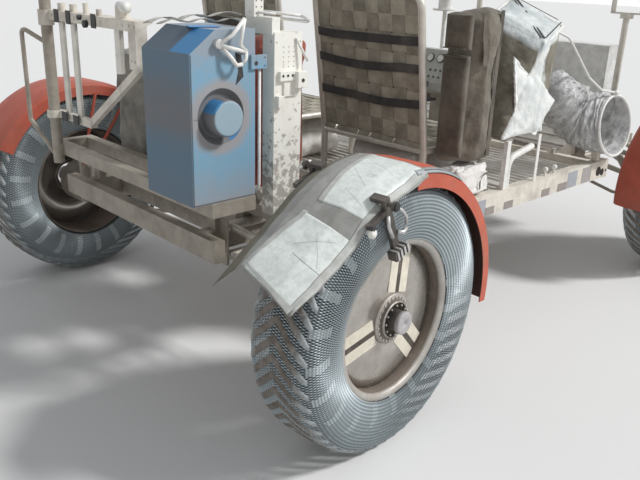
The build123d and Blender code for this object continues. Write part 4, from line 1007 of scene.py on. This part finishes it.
def inflate(obj, voxel, cap, pressure, shrink):
    """Remeshes a soft solid and lets Blender's cloth fill it, moving no point further than cap."""
    remesh = obj.modifiers.new("remesh", "REMESH")
    remesh.mode = "VOXEL"
    remesh.voxel_size = voxel
    keep_evaluated(obj)
    mesh = obj.data
    mesh.calc_loop_triangles()
    normals = vertex_values(mesh, "normal")
    start = vertex_values(mesh, "co") - normals * shrink
    mesh.vertices.foreach_set("co", start.ravel())
    filling = obj.modifiers.new("cloth", "CLOTH")
    settings = filling.settings
    settings.quality = 5
    settings.mass = 0.3
    settings.use_pressure = True
    settings.uniform_pressure_force = pressure
    settings.effector_weights.gravity = 0
    settings.tension_stiffness = 12
    settings.compression_stiffness = 12
    settings.bending_stiffness = 0.4
    filling.point_cache.frame_start = 1
    filling.point_cache.frame_end = CLOTH_FRAMES
    for number in range(1, CLOTH_FRAMES + 1):
        bpy.context.scene.frame_set(number)
    keep_evaluated(obj)
    bpy.context.scene.frame_set(1)
    moved = vertex_values(obj.data, "co") - start
    length = np.linalg.norm(moved, axis=1)[:, None]
    moved *= np.minimum(1.0, cap / np.maximum(length, 1e-9))
    obj.data.vertices.foreach_set("co", (start + moved).ravel())


def soft_node(node):
    """A filled and wrinkled copy of a CAD node that stands for it."""
    look, voxel, cap, pressure, shrink, depth, size, slot = SOFT_NODES[node]
    obj = bpy.data.objects.new("soft_" + node, nodes_cad[node].data.copy())
    obj.matrix_world = nodes_cad[node].matrix_world
    bpy.context.scene.collection.objects.link(obj)
    inflate(obj, voxel, cap, pressure, shrink)
    for vertex in obj.data.vertices:
        p = Vector(c / size for c in vertex.co)
        vertex.co += vertex.normal * depth * (noise.fractal(p, 1.0, 2.1, 4) + 0.35 * abs(noise.noise(p * 2.7)))
    obj.data.update()
    level = obj.modifiers.new("fine", "SUBSURF")
    level.levels = 1
    level.render_levels = 1
    keep_evaluated(obj)
    obj.data.materials.clear()
    obj.data.materials.append(LOOKS[look])
    obj.data.shade_smooth()
    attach(obj, "chassis")
    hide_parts(node)


SEAT_MIDDLE = 0.362
SEAT_WIDTH = 0.480
PAN_REAR = -0.562
PAN_LENGTH = 0.417
PAN_TOP = 0.748
LINER_TOP = 0.7475
BACK_FOOT = (-0.5775, 0.773)
BACK_LEAN = (0, -0.078, 0.537)
BACK_LENGTH = 0.500
BAND_GAP = 0.004
STRAP_HEIGHTS = (0.930, 1.050, 1.145)


def woven(origin, across, along, width, length, columns, rows):
    """Bands both ways, over and under in turn, wrapped round the tubes at their ends: the rows, then the columns."""
    u = Vector(across).normalized()
    v = Vector(along).normalized()
    n = u.cross(v)
    origin = Vector(origin)
    sets = []
    for main, other, count, crossings, reach, spread, over in (
        (u, v, rows, columns, width, length, 1),
        (v, u, columns, rows, length, width, -1),
    ):
        parts = []
        for k in range(count):
            shift = 0.003 * sin(k * 2.3 + over)
            place = origin + other * ((k + 0.5) * spread / count + shift)
            path = [place - main * 0.0125 + n * 0.0138, place + main * 0.002]
            normals = [n, n - main]
            for j in range(crossings * 2):
                step = (j + 0.5) * reach / (crossings * 2)
                lift = 0.0018 * over * (1 if (k + j // 2) % 2 else -1)
                path.append(place + main * step + n * lift)
                normals.append(n)
            path += [place + main * (reach - 0.002), place + main * (reach + 0.0125) + n * 0.0138]
            normals += [n + main, n]
            parts.append(ribbon(path, normals, other, spread / count - BAND_GAP, 0.0014))
        sets.append(parts)
    return sets


def build_webbing():
    """Woven seat pans and backs in their tubes over a thin liner, with three dark straps across each back."""
    lean = Vector(BACK_LEAN)
    v = lean.normalized()
    n = Vector(ACROSS).cross(v)
    for name, middle in (("right", SEAT_MIDDLE), ("left", -SEAT_MIDDLE)):
        x0 = middle - SEAT_WIDTH / 2
        foot = (x0, *BACK_FOOT)
        pan = woven((x0, PAN_REAR, PAN_TOP), ACROSS, (0, 1, 0), SEAT_WIDTH, PAN_LENGTH, 8, 7)
        back = woven(foot, ACROSS, tuple(lean), SEAT_WIDTH, BACK_LENGTH, 8, 8)
        fitting("webbing_rows_" + name, pan[0] + back[0], "seat_webbing")
        fitting("webbing_columns_" + name, pan[1] + back[1], "seat_webbing_dark")
        low = Vector(foot) - n * 0.0006
        side = Vector((SEAT_WIDTH, 0, 0))
        rise = v * BACK_LENGTH
        corner = Vector((x0, PAN_REAR, LINER_TOP))
        fore = Vector((0, PAN_LENGTH, 0))
        liner = [plate([low, low + side, low + side + rise, low + rise], 0.0008)]
        liner.append(plate([corner, corner + side, corner + side + fore, corner + fore], 0.0008))
        fitting("webbing_liner_" + name, liner, "seat_liner")
        straps = []
        for top in STRAP_HEIGHTS:
            reach = (top - PAN_TOP) / v.z - 0.016
            path = []
            for k in range(25):
                share = k / 24
                sag = -0.010 * sin(pi * share) + 0.0025 * sin(7 * share + top * 20)
                start = Vector((x0 - 0.006 + 0.492 * share, -0.575, PAN_TOP))
                path.append(start + v * (reach + sag) + n * (0.0065 + 0.0012 * sin(13 * share)))
            straps.append(ribbon(path, [n] * 25, v, 0.030, 0.002))
        fitting("straps_" + name, straps, "dark_strap")
    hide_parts("seat_webbing")


# Centre, direction and radius along the silver bag's sleeve, in mm
SLEEVE = (
    ((638, 204, 913), (-0.2, 0.85, -0.48), 78),
    ((609, 330, 845), (0.25, 0.8, -0.54), 105),
    ((646, 470, 755), (0.90, 0.42, -0.12), 126),
    ((773, 546, 739), (0.985, -0.05, 0.16), 131),
)
SLEEVE_AROUND = 72
SLEEVE_OUTER = 90
SLEEVE_INNER = 20


def sleeve_ring(s, inset, around, rough):
    """A ring of points round the sleeve at station s, wrinkled by the depth given."""
    k = min(int(s), 2)
    t = s - k
    centre = Vector(SLEEVE[k][0]).lerp(Vector(SLEEVE[k + 1][0]), t)
    normal = Vector(SLEEVE[k][1]).lerp(Vector(SLEEVE[k + 1][1]), t).normalized()
    radius = SLEEVE[k][2] * (1 - t) + SLEEVE[k + 1][2] * t - inset
    first = (Vector(ACROSS) - normal * normal.x).normalized()
    second = normal.cross(first)
    ring = []
    for n in range(around):
        turn = 2 * pi * n / around
        out = first * cos(turn) + second * sin(turn)
        crease = noise.fractal(Vector((s * 5.2 + 0.8 * sin(turn * 2), turn * 1.1, 7.3)), 1.0, 2.0, 5)
        pleat = abs(noise.noise(Vector((s * 11 + turn * 0.9, turn * 0.6, 1.7))))
        ring.append(tuple((centre + out * (radius + rough * (crease * 11 + pleat * 14 - 6))) * MM))
    return ring


def build_hoop_bag():
    """The wrinkled sleeve with its open mouth, white hoop, clip and foot."""
    points = []
    for k in range(SLEEVE_OUTER):
        s = 3 * k / (SLEEVE_OUTER - 1)
        points += sleeve_ring(s, 0, SLEEVE_AROUND, 1.0 if s < 2.75 else (3 - s) / 0.25)
    for k in range(SLEEVE_INNER):
        s = 3 - 1.0 * k / (SLEEVE_INNER - 1)
        points += sleeve_ring(s, 6 + k * 0.6, SLEEVE_AROUND, min(1.0, k / 4))
    faces = grid_faces(SLEEVE_OUTER + SLEEVE_INNER, SLEEVE_AROUND, False, True)
    faces.append(tuple(reversed(range(SLEEVE_AROUND))))
    faces.append(tuple(range(len(points) - SLEEVE_AROUND, len(points))))
    bag = piece("sleeve", (points, faces), "foil_cloth")
    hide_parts("hoop_bag")
    hoop = tube_mesh(sleeve_ring(3.0, 0, 64, 0), 0.006, 12, True)
    piece("sleeve_hoop", hoop, "white_fitting")
    fitting("sleeve_foot", boxes((0.712, 0.740, 0.500, 0.528, 0.5783, 0.640)), "rail_paint", width=0.002)
    clip = (((0.7542, 0.5285, 0.8835), (0.7581, 0.5500, 0.8801)), 0.0095)
    tubes("sleeve_clip", [clip], "white_fitting")


# The sample bag's stiff square rim: its near corner and its two sides
RIM_CORNER = (0.750, -0.082, 1.116)
RIM_ACROSS = (-0.196, -0.076, 0.094)
RIM_ALONG = (-0.056, 0.216, 0.059)
# Seams on its top: both ends as shares across and along, and the width
BAG_SEAMS = (
    (0.06, 0.06, 0.94, 0.94, 0.009),
    (0.10, 0.02, 0.98, 0.88, 0.004),
    (0.05, 0.10, 0.05, 0.92, 0.004),
    (0.12, 0.94, 0.90, 0.94, 0.004),
)


def build_white_bag():
    """The sample bag: a tent painted olive as shade, with a white side flap under a stiff square rim, whose top is two
    taut triangles.
    """
    soft_node("white_bag")
    near, across, along = Vector(RIM_CORNER), Vector(RIM_ACROSS), Vector(RIM_ALONG)
    up = along.cross(across).normalized()
    low = near - up * 0.016
    corners = [low, low + across, low + across + along, low + along]
    bars = [((corners[k], corners[(k + 1) % 4]), 0.0065) for k in range(4)]
    tubes("bag_rim", bars, "white_fitting")
    top = near + up * 0.0035
    parts = []
    for a0, b0, a1, b1, width in BAG_SEAMS:
        a = top + across * a0 + along * b0
        b = top + across * a1 + along * b1
        parts.append(ribbon([a, b], [up, up], up.cross(b - a), width, 0.0014))
    fitting("bag_seams", parts, "dark_strap")


def pocket_mesh(x0, x1, z0, z1, y0, y1, puff):
    """A soft pocket on a face of constant y: a crowned slab with rounded edges."""
    columns, rows = 14, 26
    points = []
    for outer in (False, True):
        for j in range(rows + 1):
            for i in range(columns + 1):
                u = 2 * i / columns - 1
                w = 2 * j / rows - 1
                crown = (1 - u ** 6) * (1 - w ** 6)
                x = x0 + (x1 - x0) * (i / columns)
                z = z0 + (z1 - z0) * (j / rows)
                fold = noise.fractal(Vector((x * 20, 2.0, z * 12)), 1.0, 2.0, 4) * puff * 0.5
                points.append((x, y0 - (puff + fold) * crown if outer else y1, z))
    return slab(points, rows + 1, columns + 1)


def build_side_bag():
    """The khaki bag beside the seat back, with its pocket, lid, piping, straps and the white cloth below it."""
    soft_node("seat_side_bag")
    for name, z0, z1, puff in (("pocket", 0.745, 1.085, 0.010), ("lid", 1.105, 1.215, 0.008)):
        mesh = pocket_mesh(0.640, 0.736, z0, z1, -0.541, -0.520, puff)
        piece("bag_" + name, mesh, "khaki_dark")
    piping = [(((0.642, -0.5515, z), (0.734, -0.5515, z)), 0.0022) for z in (0.748, 1.082, 1.108)]
    tubes("bag_piping", piping, "khaki_dark")
    lengths = (
        (((0.7455, -0.470, 1.215), (0.7475, -0.468, 1.150), (0.7465, -0.452, 1.095), (0.7455, -0.448, 1.050)), 0.026),
        (((0.7455, -0.375, 1.230), (0.7465, -0.380, 1.000), (0.7455, -0.376, 0.730)), 0.020),
    )
    straps = [ribbon(path, [ACROSS] * len(path), (0, 1, 0), width, 0.0022) for path, width in lengths]
    fitting("bag_straps", straps, "khaki_dark")
    build_white_bundle()


def build_white_bundle():
    """Crumpled white cloth stuffed between the side bag and the rail, with a dark handle loop."""
    centre = Vector((0.690, -0.432, 0.640))
    half = Vector((0.050, 0.108, 0.058))
    rows, columns = 44, 64
    points = [tuple(centre - Vector((0, 0, half.z)))]
    for j in range(1, rows):
        tilt = pi * j / rows - pi / 2
        for i in range(columns):
            turn = 2 * pi * i / columns
            ball = Vector((cos(tilt) * cos(turn), cos(tilt) * sin(turn), sin(tilt)))
            box = Vector(abs(c) ** 0.42 * (1 if c > 0 else -1) for c in ball)
            crumple = noise.fractal(box * 2.6, 0.9, 2.2, 5) * 0.13 + abs(noise.noise(box * 3.4)) * 0.16 - 0.08
            points.append(tuple(centre + box * half * min(1 + crumple, 1.07)))
    points.append(tuple(centre + Vector((0, 0, half.z))))
    faces = []
    last = 1 + (rows - 2) * columns
    for i in range(columns):
        faces.append((0, 1 + (i + 1) % columns, 1 + i))
        faces.append((len(points) - 1, last + i, last + (i + 1) % columns))
    faces += [tuple(1 + k for k in face) for face in grid_faces(rows - 1, columns, False, True)]
    piece("white_bundle", (points, faces), "white_cloth_dusty")
    loop = [(0.7440, -0.395, 0.610), (0.7465, -0.402, 0.640), (0.7460, -0.385, 0.662), (0.7455, -0.352, 0.668)]
    fitting("bundle_loop", [ribbon(loop, [ACROSS] * 4, (0, 0.6, 0.8), 0.010, 0.002)], "khaki_dark")


# Small fittings

RAIL_FACE = 0.7451
PATCH_RISE = 0.0009
# Limits along the rail and in height of each patch
RAIL_PATCHES = {
    "grey": (
        (-0.348, -0.287, 0.497, 0.527), (-0.222, -0.160, 0.497, 0.527),
        (0.048, 0.110, 0.497, 0.528), (0.173, 0.246, 0.497, 0.531),
    ),
    "blue": ((-0.409, -0.347, 0.499, 0.562), (0.250, 0.329, 0.499, 0.568)),
    "lens": ((0.372, 0.452, 0.500, 0.568),),
}
# Place along the rail, height, radius, rise and sides of each smear
RAIL_SMEARS = ((0.520, 0.532, 0.022, 0.0008, 9), (0.556, 0.524, 0.017, 0.0009, 8), (0.590, 0.527, 0.007, 0.0009, 8))
DIAL_Y = -1.400
DIAL_Z = 0.948
DIAL_FACE = 0.5885
BOX_SIDE = 0.5524
BAIL_END = (0.576, -1.332, 1.122)
BOX_BAIL = (
    (((0.562, -1.412, 1.144), (0.578, -1.378, 1.167), (0.580, -1.338, 1.209)), 0.0055),
    (((0.580, -1.338, 1.209), (0.580, -1.347, 1.171), (0.578, -1.351, 1.142), BAIL_END), 0.0050),
    (((0.564, -1.405, 1.140), (0.576, -1.367, 1.130), BAIL_END), 0.0055),
    (((0.562, -1.400, 1.134), (0.578, -1.382, 1.108), (0.580, -1.366, 1.088), (0.580, -1.348, 1.090)), 0.0060),
    (((0.580, -1.348, 1.090), (0.582, -1.336, 1.104), (0.576, -1.330, 1.122)), 0.0050),
)
POST_FACE = 0.5502
POST_RODS = (
    (((0.470, -1.205, 1.222), (0.560, -1.120, 1.212)), 0.0045),
    (((0.480, -1.190, 1.206), (0.572, -1.105, 1.196)), 0.0045),
    (((0.560, -1.120, 1.212), (0.578, -1.098, 1.200), (0.572, -1.105, 1.196)), 0.0045),
    (((0.500, -1.260, 1.222), (0.560, -1.215, 1.218)), 0.0040),
    (((0.552, -1.130, 1.150), (0.572, -1.100, 1.085)), 0.0040),
)
GATE_FACE = -1.4500
# Place across, height up the panel and radius of each gauge
CONSOLE_GAUGES = (
    (-0.115, 0.115, 0.026), (-0.050, 0.120, 0.021), (0.010, 0.120, 0.021), (0.070, 0.120, 0.021),
    (0.125, 0.118, 0.018), (-0.115, 0.050, 0.022),
)
DISH_CENTRE = (-0.378, 1.083, 1.7763 + 0.070)
DISH_PROFILE = ((0.010, 0.002), (0.161, 0.014), (0.322, 0.055), (0.4825, 0.128))
DISH_RADIUS = 0.4825
LENS_CENTRE = (0.378, 1.330, 1.1503 + 0.175)


def build_rail_patches():
    """Grey and bluish square patches on the right rail's outer face, with a dark smear near its front end."""
    for name, spots in RAIL_PATCHES.items():
        parts = boxes(*[(RAIL_FACE, RAIL_FACE + PATCH_RISE, *spot) for spot in spots])
        fitting("rail_patch_" + name, parts, "patch_" + name)
    smears = []
    for y, z, radius, rise, sides in RAIL_SMEARS:
        smears += discs([(RAIL_FACE, y, z)], radius, rise, sides)
    fitting("rail_smear", smears, "black_part")


def build_box_fittings():
    """Bail tubes with knobs, bracket plate, side rod, dark tape, seams and feet on the blue box."""
    tubes("box_bail", BOX_BAIL, "white_fitting")
    knobs = discs([(0.552, -1.412, 1.144)], 0.013, 0.016) + discs([(0.552, -1.332, 1.122)], 0.009, 0.024)
    fitting("box_bail_knobs", knobs, "clamp_light", width=0.001, smooth=True)
    bracket = boxes((0.5525, 0.5600, -1.300, -1.2815, 1.071, 1.110), (0.5560, 0.5600, -1.2815, -1.244, 1.071, 1.110))
    fitting("box_bracket", bracket, "box_blue", width=0.001)
    holes = discs([(0.5600, -1.283, 1.087)], 0.0062, 0.0006)
    holes += discs([(0.5600, -1.252, z) for z in (1.079, 1.102)], 0.0022, 0.0006, 8)
    fitting("box_bracket_holes", holes, "black_part")
    rod = (((0.548, -1.262, 1.071), (0.548, -1.262, 0.730), (0.540, -1.270, 0.704)), 0.0045)
    tubes("box_side_rod", [rod], "white_fitting")
    tape = ((-1.352, 1.120), (-1.330, 1.110), (-1.322, 1.052), (-1.350, 1.030), (-1.340, 1.070))
    fitting("box_dark_tape", [plate([(BOX_SIDE, y, z) for y, z in tape], 0.0008)], "black_part")
    seams = boxes(
        (0.5522, 0.5528, -1.4965, -1.4945, 0.705, 1.118),
        (0.5522, 0.5530, -1.4970, -1.2835, 0.7045, 0.7065),
        (BOX_SIDE, 0.5529, -1.4905, -1.4700, 0.9472, 0.9480),
    )
    fitting("box_seams", seams, "seam_dark")
    feet = boxes(*[(x, x + 0.03, y, y + 0.03, 0.7024, 0.7027) for x in (0.33, 0.51) for y in (-1.49, -1.32)])
    fitting("box_feet", feet, "black_part")


def build_post_fittings():
    """Rivets, the three-hole bracket, rods, and the block on top of the post."""
    spots = [(POST_FACE, -1.175 + column * 0.020, 1.070 + row * 0.014) for row in range(5) for column in range(3)]
    rivets = discs(spots, 0.0018, 0.0012, 8)
    spots = [(POST_FACE, y, z) for z in (0.66, 0.72, 0.80, 0.88, 0.96, 1.14) for y in (-1.201, -1.111)]
    rivets += discs(spots, 0.0024, 0.0014, 8)
    fitting("post_rivets", rivets, "rivet")
    bracket = boxes(
        (POST_FACE, POST_FACE + 0.011, -1.195, -1.137, 1.030, 1.058),
        (POST_FACE, POST_FACE + 0.024, -1.137, -1.101, 1.008, 1.056),
        (POST_FACE, POST_FACE + 0.016, -1.205, -1.182, 0.955, 0.988),
    )
    fitting("post_bracket", bracket, "post_white", width=0.0012)
    holes = discs([(POST_FACE + 0.011, y, 1.045) for y in (-1.184, -1.166, -1.148)], 0.0042, 0.0006, 12)
    holes += discs([(POST_FACE + 0.024, -1.118, 1.030)], 0.006, 0.0006, 12)
    fitting("post_holes", holes, "black_part")
    tubes("post_rods", POST_RODS, "white_fitting")
    fitting("post_top_block", boxes((0.478, 0.520, -1.260, -1.225, 1.2075, 1.262)), "post_white", width=0.002)
    dots = discs([(0.5202, y, z) for y in (-1.252, -1.233) for z in (1.218, 1.235, 1.252)], 0.002, 0.0006, 8)
    fitting("post_top_dots", dots, "black_part")


def build_gate_fittings():
    """Pale cylinder, clips, bolts and dark knobs on the gate; they swing with it."""
    gate = "tool_gate"
    capsule = (((0.080, -1.432, 1.2125), (0.124, -1.432, 1.2125)), 0.017)
    tubes("gate_capsule", [capsule], "white_fitting", gate)
    clips = boxes(*[(x - 0.016, x + 0.016, -1.4535, -1.4503, 1.140, 1.184) for x in (-0.330, -0.240, -0.060)])
    clips += boxes(*[(x - 0.020, x + 0.020, -1.4555, -1.4505, 0.800, 0.832) for x in (-0.330, -0.240)])
    fitting("gate_clips", clips, "black_part", gate, width=0.001)
    rearward = (0, -1, 0)
    spots = [(x, GATE_FACE, 1.162) for x in (-0.37, -0.20, -0.02, 0.12, 0.16, 0.188)]
    bolts = discs(spots, 0.0045, 0.003, 6, rearward)
    bolts += discs([(x, GATE_FACE, 1.060) for x in (0.165, 0.186)], 0.004, 0.003, 6, rearward)
    fitting("gate_bolts", bolts, "bolt_metal", gate)
    knobs = discs([(-0.110, -1.462, 1.150)], 0.012, 0.012, normal=(0, 1, 0))
    knobs += discs([(-0.150, -1.462, 1.168)], 0.008, 0.012, normal=(0, 1, 0))
    fitting("gate_knobs", knobs, "black_part", gate, width=0.001, smooth=True)


def build_straps():
    """Loose cloth straps that sag from the gate side to the post's cap, and a blue tab."""
    runs = []
    for start, end, sag, width in (
        ((0.300, -1.470, 1.186), (0.440, -1.255, 1.212), 0.004, 0.026),
        ((0.340, -1.455, 1.184), (0.520, -1.290, 1.196), 0.002, 0.018),
    ):
        path = []
        for k in range(15):
            p = Vector(start).lerp(Vector(end), k / 14)
            p.z += 0.012 * abs(sin(3 * pi * (k / 14))) - sag
            path.append(p)
        runs.append(ribbon(path, [(0, 0, 1)] * 15, (0.8, 0.5, 0.1), width, 0.0016))
    fitting("box_straps", runs, "pale_strap", smooth=True)
    tab = [(x, y, 1.1812) for x, y in ((0.420, -1.420), (0.470, -1.440), (0.500, -1.360), (0.450, -1.350))]
    fitting("box_top_tab", [plate(tab, 0.002)], "bright_blue")


def build_console_face():
    """Round gauges, switches and guards on the console's sloped crew face, without marks."""
    low = Vector((0, 0.220, 0.852))
    up = (Vector((0, 0.280, 1.002)) - low).normalized()
    out = Vector(ACROSS).cross(up)
    dials, rims, switches = [], [], []
    for x, rise, radius in CONSOLE_GAUGES:
        spot = low + up * rise + Vector((x, 0, 0))
        rims += discs([spot], radius, 0.005, 28, out)
        dials += discs([spot + out * 0.005], radius * 0.82, 0.0008, 28, out)
    for rise in (0.030, 0.062):
        for n in range(7):
            spot = low + up * rise + Vector((-0.060 + n * 0.030, 0, 0))
            rims += discs([spot], 0.0055, 0.003, 12, out)
            switches += discs([spot], 0.002, 0.016, 8, out + up * 0.3)
    fitting("console_rims", rims, "black_part")
    fitting("console_dials", dials, "dial_face")
    fitting("console_switches", switches, "bolt_metal")


def dish_ring(radius, height, steps):
    """A closed ring of points about the dish's axis."""
    x, y, z = DISH_CENTRE
    turns = [2 * pi * k / steps for k in range(steps + 1)]
    return [(x + radius * cos(t), y + radius * sin(t), z + height) for t in turns]


def build_dish():
    """Ribs, rings and rim of the mesh dish."""
    x, y, z = DISH_CENTRE
    runs = []
    for n in range(24):
        t = 2 * pi * n / 24
        runs.append(([(x + r * cos(t), y + r * sin(t), z + h - 0.004) for r, h in DISH_PROFILE], 0.0022))
    for share in (0.33, 0.55, 0.78):
        r = DISH_RADIUS * share
        runs.append((dish_ring(r, float(np.interp(r, *zip(*DISH_PROFILE))) - 0.004, 60), 0.0016))
    runs.append((dish_ring(0.481, 0.130, 90), 0.0045))
    tubes("dish_ribs", runs, "gilt_rib", "antenna_dish")


def build_camera_details():
    """Lens rings and glass of the television camera."""
    x, y, z = LENS_CENTRE
    ahead = (0, 1, 0)
    rings = discs([(x, y + 0.250 + 0.016 * n, z) for n in range(3)], 0.0395, 0.006, 36, ahead)
    fitting("camera_rings", rings, "black_part", "tv_camera", width=0.001, smooth=True)
    glass = discs([(x, y + 0.2950, z)], 0.031, 0.0008, 32, ahead)
    fitting("camera_glass", glass, "lens_glass", "tv_camera")


place_camera()
build_stage()
make_looks()
build_wheels()
build_charts()
build_fender_strip()
build_clamp_details()
build_webbing()
build_hoop_bag()
build_white_bag()
build_side_bag()
for bags in ("under_seat_bags", "pallet_bags", "red_bag"):
    soft_node(bags)
build_rail_patches()
build_box_fittings()
build_post_fittings()
build_gate_fittings()
build_straps()
build_console_face()
build_dish()
build_camera_details()
